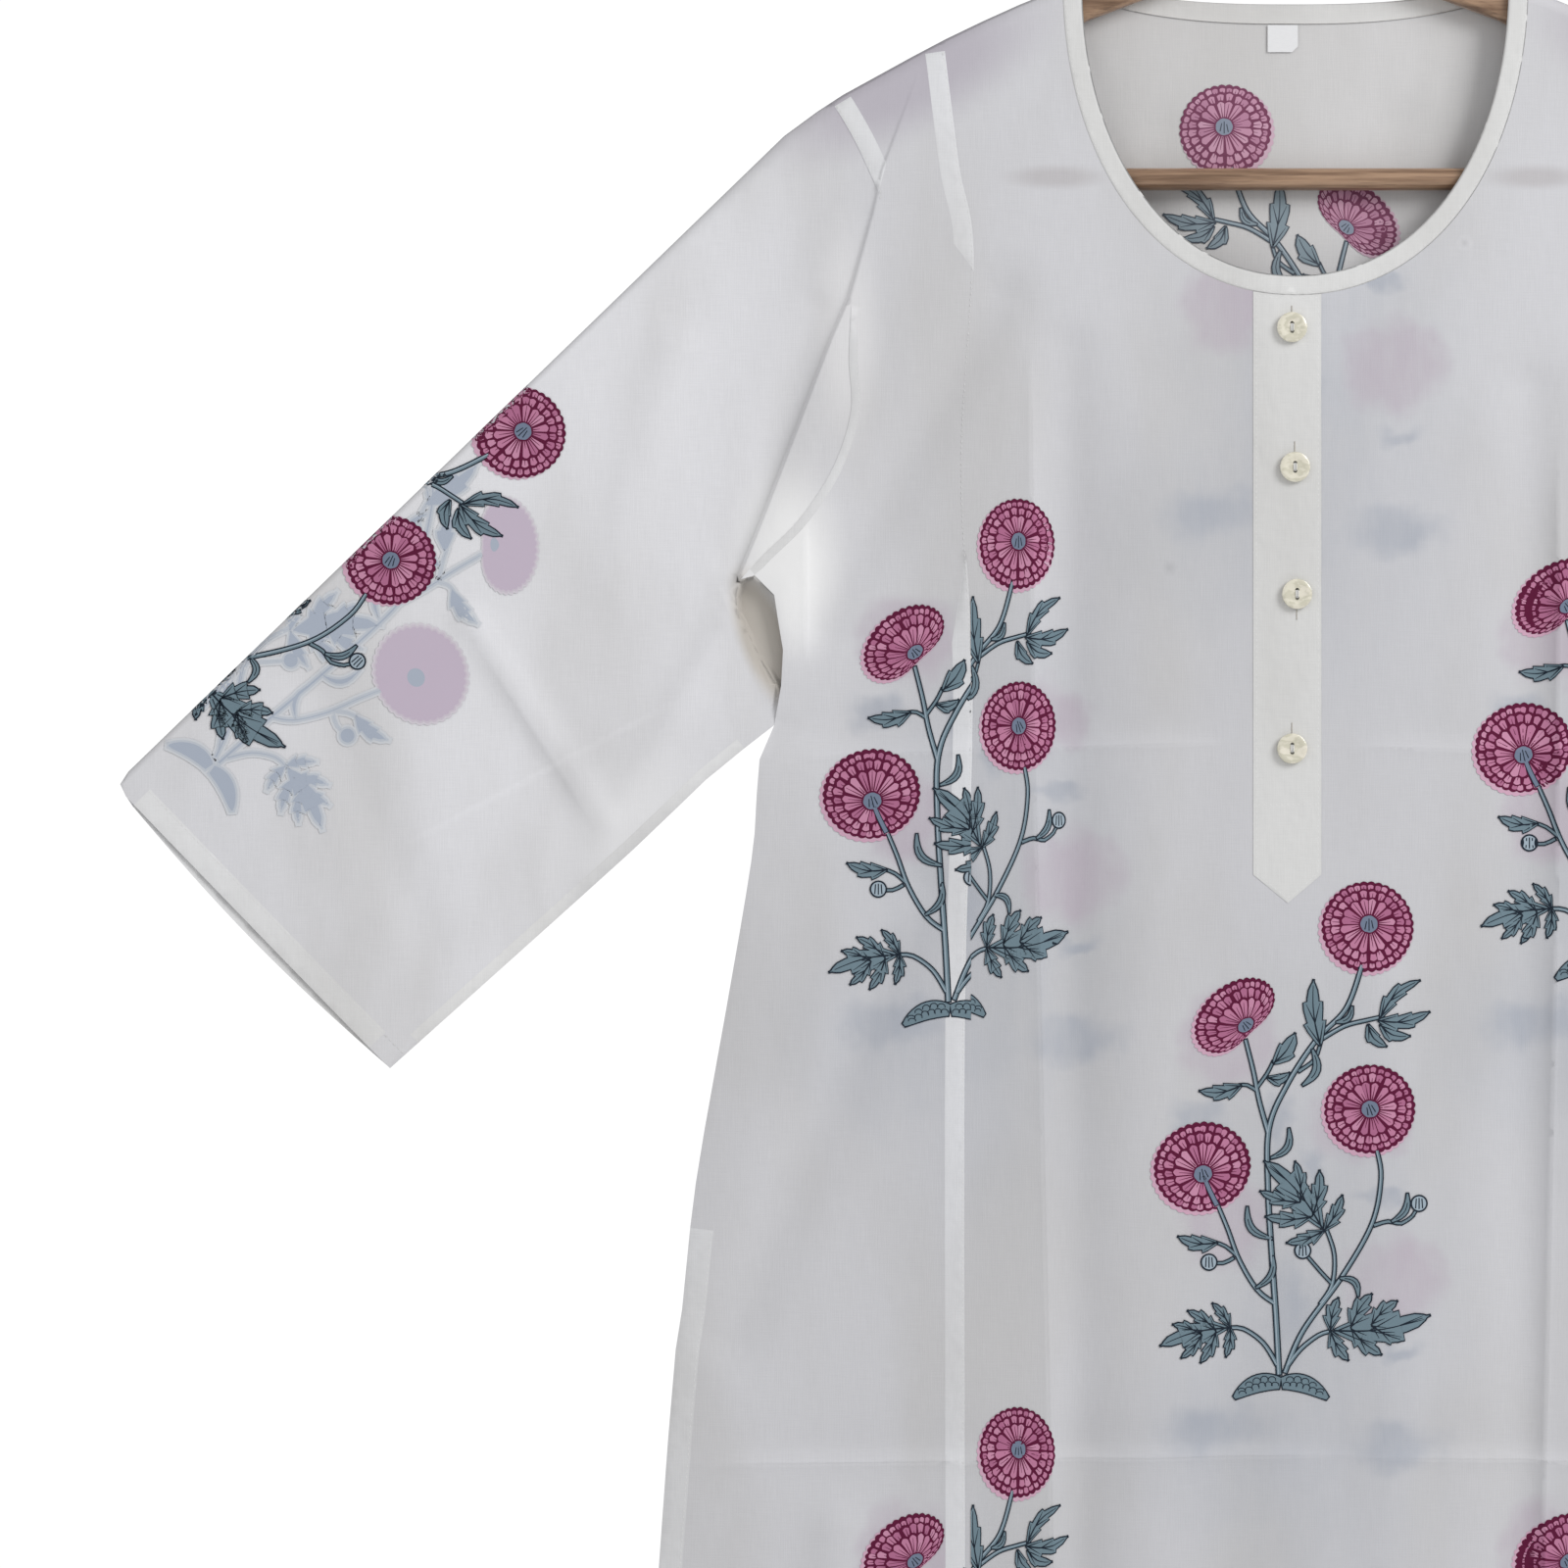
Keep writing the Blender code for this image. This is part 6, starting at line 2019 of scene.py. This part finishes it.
def make_front(looks):
    """The front: its middle panel and two side panels, with their seam allowances, slits and hem."""
    made = {}
    cottons = looks["front"], looks["doubled"]
    creases = crease_paths(FRONT_CREASES)
    middle = Cloth()
    end = SEAM_PATH[-1][0] - HEM_CLEAR
    hem = strip(hem_path(-end, end), -BAND_OVER, HEM_BAND)
    middle.add(front_middle_outline(), front_depth, 1, turn_lines(SHOULDER_ROUND) + creases, bands=[hem])
    made["middle"] = middle.make("front_middle_cloth", cottons, "front_centre")
    low_hem_ends = SEAM_PATH[-1][0] + HEM_CLEAR, SIDE_EDGE[-1][0] - SLIT_BAND - HEM_CLEAR
    for name, side in SIDE_NAMES.items():
        panel = Cloth()
        lines = turn_lines(SHOULDER_ROUND, (side,)) + drag_paths(side) + creases
        low_hem = strip(hem_path(*low_hem_ends), -BAND_OVER, HEM_BAND)
        bands = [*seam_band(), armhole_band(), low_armhole_band(), slit_band(), low_hem]
        bands = [to_side(band, side) for band in bands]
        panel.add(front_side_outline(side), front_depth, 1, lines, bands=bands)
        made[name] = panel.make(f"front_{name}_cloth", cottons, f"front_side_{name}")
        slit = part_of(SIDE_EDGE, SLIT_TOP, HEM_MIDDLE)
        armhole = part_of(FRONT_ARMHOLE_PATH, ARMHOLE_TOP[1] - ARMHOLE_STITCH_BELOW_TOP, ARMHOLE_BAND_TO[0])
        low_row = offset(low_armhole(), -LOW_SEAM_BAND + LOW_SEAM_STITCH_IN)
        runs = [
            offset(slit, -SLIT_BAND + STITCH_IN),
            offset(hem_path(0.0, SIDE_EDGE[-1][0] - SLIT_BAND), HEM_BAND - STITCH_IN),
            *(offset(part_of(SEAM_PATH, *ends), SEAM_STITCH_IN) for ends in SEAM_STITCHES),
            offset(armhole, -ARMHOLE_STITCH_IN),
            [p for p in low_row if p[1] < LOW_SEAM_FROM - BAND_TAPER],
        ]
        runs = [to_side(run, side) for run in runs]
        label = f"front_{name}_stitches"
        made[name + "_stitches"] = sewn(label, runs, front_depth, 1, BAND_RISE, looks["thread"])
    return made


def make_back(looks):
    made = {}
    end = SIDE_EDGE[-1][0] - SLIT_BAND - HEM_CLEAR
    bands = [strip(hem_path(-end, end), -BAND_OVER, HEM_BAND)]
    runs = [offset(hem_path(-end, end), HEM_BAND - STITCH_IN)]
    slit = part_of(SIDE_EDGE, SLIT_TOP, HEM_MIDDLE)
    for side in (1, -1):
        bands.append(to_side(slit_band(), side))
        runs.append(to_side(offset(slit, -SLIT_BAND + STITCH_IN), side))
    back = Cloth()
    lines = turn_lines(SHOULDER_ROUND) + crease_paths(BACK_CREASES)
    back.add(back_outline(), back_depth, -1, lines, BACK_STEP, bands=bands)
    made["cloth"] = back.make("back_cloth", (looks["back"], looks["doubled"]), "back")
    made["stitches"] = sewn("back_stitches", runs, back_depth, -1, BAND_RISE, looks["thread"])
    return made


def make_sleeve(name, side, looks):
    made = {}
    cloth = Cloth()
    lines = turn_lines(SLEEVE_ROUND, (side,))
    armhole = FRONT_ARMHOLE_PATH + HOLLOW_EDGE[1:]
    front_lines = lines + drag_paths(side) + crease_paths(FRONT_CREASES)
    cuff_rows = [to_side(offset(cuff_path(0.0), -row), side) for row in CUFF_ROWS]
    runs, bands = {}, {}
    for layer, drop in ((1, 0.0), (-1, BACK_CUFF_DROP)):
        cuff = cuff_path(drop)[CUFF_CORNER_POINTS:]
        bands[layer] = [strip(cuff[:-CUFF_BAND_STOP], BAND_OVER, -CUFF_BAND)]
        runs[layer] = [to_side(offset(cuff, -CUFF_BAND + STITCH_IN), side)]
    first, last = UNDERARM_BAND_ENDS
    under = [p for p in UNDER_EDGE if UNDERARM[0] + first < p[0] < CUFF_BOTTOM[0] - last]
    bands[1].append(strip(under, -BAND_OVER, UNDERARM_BAND))
    for layer, outline, depth, rows in (
        (1, sleeve_outline(side, armhole, 0.0), sleeve_depth, front_lines),
        (-1, sleeve_outline(side, BACK_ARMHOLE_PATH, BACK_CUFF_DROP), back_sleeve_depth, lines + cuff_rows),
    ):
        doubled = [to_side(band, side) for band in bands[layer]]
        cloth.add(outline, depth, layer, rows, bands=doubled)
    cottons = looks["sleeve_" + name], looks["doubled"]
    nodes = f"sleeve_{name}_front", f"sleeve_{name}_back"
    made["cloth"] = cloth.make(f"sleeve_{name}_cloth", cottons, *nodes)
    made["stitches"] = sewn(f"sleeve_{name}_stitches", runs[1], front_depth, 1, BAND_RISE, looks["thread"])
    label = f"sleeve_{name}_back_stitches"
    made["back_stitches"] = sewn(label, runs[-1], back_sleeve_depth, -1, BAND_RISE, looks["thread"])
    return made


def make_neck(looks):
    made = {}
    for name, curve, depth, layer in (
        ("front", neck_curve, front_depth, 1),
        ("back", back_neck_curve, back_depth, -1),
    ):
        outline = binding_outline(curve)
        rolled = raised(depth, outline, BINDING_RISE, BINDING_ROUND)
        cloth = Cloth()
        rows = [curve(by) for by in (BINDING_ROUND / 2, BINDING_ROUND, BINDING_WIDTH - BINDING_ROW_IN)]
        lines = turn_lines(SHOULDER_ROUND) + rows + [mirrored(row) for row in rows]
        cloth.add(outline, rolled, layer, lines, BINDING_STEP, thick=BINDING_THICK)
        made[name] = cloth.make(f"binding_{name}", [looks["binding"]], f"neck_binding_{name}")
        row = curve(BINDING_WIDTH - BINDING_STITCH_IN)
        runs = [row, mirrored(row)]
        label, rise = f"binding_{name}_stitches", BINDING_RISE * BINDING_STITCH_SHARE
        made[name + "_stitches"] = sewn(label, runs, depth, layer, rise, looks["thread"])
    return made


def make_placket(looks):
    made = {}
    outline = placket_outline()
    raised_depth = raised(front_depth, outline, PLACKET_RISE, PLACKET_ROUND, True)
    cloth = Cloth()
    lines = [inset_ring(outline, PLACKET_ROUND / 3), inset_ring(outline, PLACKET_ROUND)]
    cloth.add(outline, raised_depth, 1, lines, PLACKET_STEP, thick=PLACKET_THICK)
    made["cloth"] = cloth.make("placket_cloth", [looks["binding"]], "placket_under", "placket_top")
    ring = inset_ring(outline, PLACKET_STITCH_IN)
    left, right = PLACKET_LEFT + PLACKET_STITCH_IN, PLACKET_RIGHT - PLACKET_STITCH_IN
    across = [(left, PLACKET_STITCH), (right, PLACKET_STITCH)]
    made["stitches"] = sewn("placket_stitches", [ring, across], front_depth, 1, PLACKET_RISE, looks["thread"])
    holes, cuts = [], []
    for button, rise in BUTTONHOLES:
        x, z = BUTTONS[button]
        holes += buttonhole_runs(x, z + rise)
        flat = np.array([(x, z + rise + t * HOLE_LENGTH) for t in np.linspace(-1, 1, CUT_POINTS)])
        cuts.append(laid(lambda where: front_depth(where, PLACKET_RISE + CUT_RISE), flat))
    made["buttonholes"] = sewn("buttonhole_stitches", holes, front_depth, 1, PLACKET_RISE, looks["thread"])
    # Dark strands along each buttonhole's cut: painted shade in the slit
    made["cuts"] = round_strands("buttonhole_slit_shade", cuts, CUT_RADIUS, looks["cut"])
    return made


def buttonhole_runs(x, z):
    """Two close rows of thread round a cut that runs up and down."""
    sides = (x - HOLE_ROW, x + HOLE_ROW)
    return [[(side, z - HOLE_LENGTH), (side, z + HOLE_LENGTH)] for side in sides]


def make_tab(looks):
    left, right, top, bottom = TAB["left"], TAB["right"], TAB["top"], TAB["bottom"]
    cut = TAB["chamfer"]
    outline = [(left, top), (left, bottom), (right - cut, bottom), (right, bottom + cut), (right, top)]

    def tab_depth(where, lift=0.0):
        return back_depth(where, lift - TAB_LIFT)

    cloth = Cloth()
    cloth.add(spaced(closed(outline), TAB_STEP)[:-1], tab_depth, -1, (), TAB_STEP, thick=TAB_THICK)
    return cloth.make("size_tab_tape", [looks["tape"]], "size_tab")


def make_buttons(looks):
    for index, (x, height) in enumerate(BUTTONS, 1):
        button, stitch = turned_button(f"button_{index}_pearl", x, height, looks)
        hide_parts(f"button_{index}")


def make_prints(looks):
    """The printed plants. A plant that crosses a front panel's seam is a little out of step beyond it."""
    plant = draw_plant()
    made = {}
    front = Print("front", front_depth, creases=FRONT_CREASES)
    hem = [((0.0, HEM_MIDDLE + HEM_BAND + HEM_CLEAR), (0.0, 1.0))]
    for foot in PRINT_FEET_FRONT:
        front.stamp(plant, foot, cuts=hem)
    for x, z, side in PRINT_FEET_SEAM:
        seam = (side * SEAM_CUT, 0.0)
        slipped = (x + SEAM_SLIP[0], z + SEAM_SLIP[1])
        for foot, way in (((x, z), -1), (slipped, 1)) if side < 0 else ((slipped, 1), ((x, z), -1)):
            narrow = SEAM_NARROW[side] if way == 1 else 1.0
            front.stamp(plant, foot, flip=narrow, cuts=[*hem, (seam, (float(way), 0.0))])
    made["front"] = front.make("front_print", looks["inks"])
    back = Print("back", back_depth, creases=BACK_CREASES)
    for foot in PRINT_FEET_BACK:
        back.stamp(plant, foot, flip=-1.0, cuts=hem)
    made["back"] = back.make("back_print", looks["inks"])
    inner = Print("front", back_depth, side=-1.0, lift=CLOTH_THICK + PRINT_LIFT, creases=BACK_CREASES)
    inner.stamp(plant, PRINT_FEET_BACK[0], flip=-1.0)
    made["inner"] = inner.make("back_print_inner_face", looks["inks_inside"])
    plants = [plant] + [draw_plant(grow=by, edge=edge) for edge, by in GHOST_GROWS.items()]
    for name, side in SIDE_NAMES.items():
        made["sleeve_" + name] = sleeve_print(plants, name, side, looks)
    return made


def sleeve_feet(name, side):
    """Where the plant stands by the cuff's corner, on the sleeve's front and on its back."""
    corner = np.array([side * CUFF_TOP[0], CUFF_TOP[1]])
    up = np.array([-side * SLEEVE_UP[0], SLEEVE_UP[1]])
    inward = np.array([-side * SLEEVE_UP[1], -SLEEVE_UP[0]])
    reach = SLEEVE_FOOT_IN[name]
    feet = [corner + up * SLEEVE_FOOT_UP + inward * reach * layer for layer in (1, -1)]
    return corner, up, inward, feet


def sleeve_print(plants, name, side, looks):
    """Each face has its own plant above its foot, and the other face's whole plant shows through faintly."""
    corner, up, inward, feet = sleeve_feet(name, side)
    fold = [(corner, inward)]
    made = []
    for label, depth, layer in (("front", front_depth, 1), ("back", back_depth, -1)):
        own, other = feet[::layer]
        print_on = Print("sleeve", depth, lift=SLEEVE_PRINT_LIFT)
        for plant in plants[1:]:
            print_on.stamp(plant, other, up, flip=-float(layer), cuts=fold)
        print_on.stamp(plants[0], own, up, flip=float(layer), cuts=[*fold, (own + up * SLEEVE_FOOT_CUT, up)])
        made.append(print_on.make(f"sleeve_{name}_{label}_print", looks["inks"]))
    return made


# ---------------------------------------------------------------- stage


def set_stage():
    """A pale floor, an even white surround, a soft key lamp from the front right and a weak left one."""
    scene = bpy.context.scene
    scene.view_settings.view_transform = "Standard"
    mesh = bpy.data.meshes.new("floor")
    corners = [(-1, -1), (1, -1), (1, 1), (-1, 1)]
    places = [(x * FLOOR_HALF, y * FLOOR_HALF, FLOOR_HEIGHT) for x, y in corners]
    mesh.from_pydata(places, [], [(0, 1, 2, 3)])
    floor = placed("floor", mesh)
    mesh.materials.append(surface("floor_pale", FLOOR_TINT, FLOOR_ROUGHNESS)[0])
    world = bpy.data.worlds.new("surround")
    scene.world = world
    world.use_nodes = True
    n = Nodes(world.node_tree)
    backdrop = world.node_tree.nodes["Background"]
    backdrop.inputs["Color"].default_value = (1, 1, 1, 1)
    seen = n.add("ShaderNodeLightPath").outputs["Is Camera Ray"]
    n.feed(backdrop.inputs["Strength"], n.ramp(seen, 0.0, 1.0, SURROUND_LIGHT, SURROUND_SEEN))
    for name, place, size, power in LAMPS:
        lamp = bpy.data.lights.new(name, "AREA")
        lamp.size = size
        lamp.energy = power
        lamp_object = placed(name, lamp)
        lamp_object.location = place
        aim = Vector(LAMP_AIM) - Vector(place)
        lamp_object.rotation_euler = aim.to_track_quat("-Z", "Y").to_euler()
    camera = bpy.data.cameras.new("camera")
    camera.sensor_width = CAMERA_SENSOR
    camera.lens = CAMERA_LENS
    camera_object = placed("camera", camera)
    camera_object.location = CAMERA_PLACE
    camera_object.rotation_euler = (math.radians(90), 0, 0)
    scene.camera = camera_object


def dress_hanger():
    wood, steel = hanger_wood(), hook_steel()
    for node, look in (("hanger_board", wood), ("hanger_bar", wood), ("hanger_hook", steel)):
        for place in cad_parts[node].material_slots:
            place.material = look


def main():
    looks = {
        # The front's cotton carries the painted shade of the hanger behind it and painted light at the laps
        "front": printed_cotton("cotton_front", GHOSTS_ON_FRONT, both_sides(ARM_SHADOWS + LAP_LIGHTS)),
        "back": printed_cotton("cotton_back", GHOSTS_ON_BACK, tint=COTTON_BACK_WITH_PAINTED_LIGHT),
        "doubled": doubled_cotton("cotton_doubled", COTTON_DOUBLE),
        "binding": doubled_cotton("cotton_binding", COTTON_BINDING),
        "tape": tape_look(),
        "pearl": button_pearl(),
        "thread": thread("sewing_thread", THREAD),
        "cut": thread("buttonhole_shade", HOLE_SHADE),
        "inks": print_inks(),
        "inks_inside": print_inks(INSIDE_PALER),
    }
    # The sleeves get the same painted light and shade, and the painted shade in the hollow under the left arm
    sleeve_painted_light_and_shade = [*both_sides(LAP_LIGHTS + ARM_SHADOWS), HOLLOW_SHADE]
    for name in SIDE_NAMES:
        looks["sleeve_" + name] = printed_cotton("cotton_sleeve_" + name, (), sleeve_painted_light_and_shade)
    front = make_front(looks)
    back = make_back(looks)
    sleeves = {name: make_sleeve(name, side, looks) for name, side in SIDE_NAMES.items()}
    neck = make_neck(looks)
    placket = make_placket(looks)
    tab, tab_area = make_tab(looks)
    make_buttons(looks)
    prints = make_prints(looks)
    dress_hanger()
    set_stage()


main()
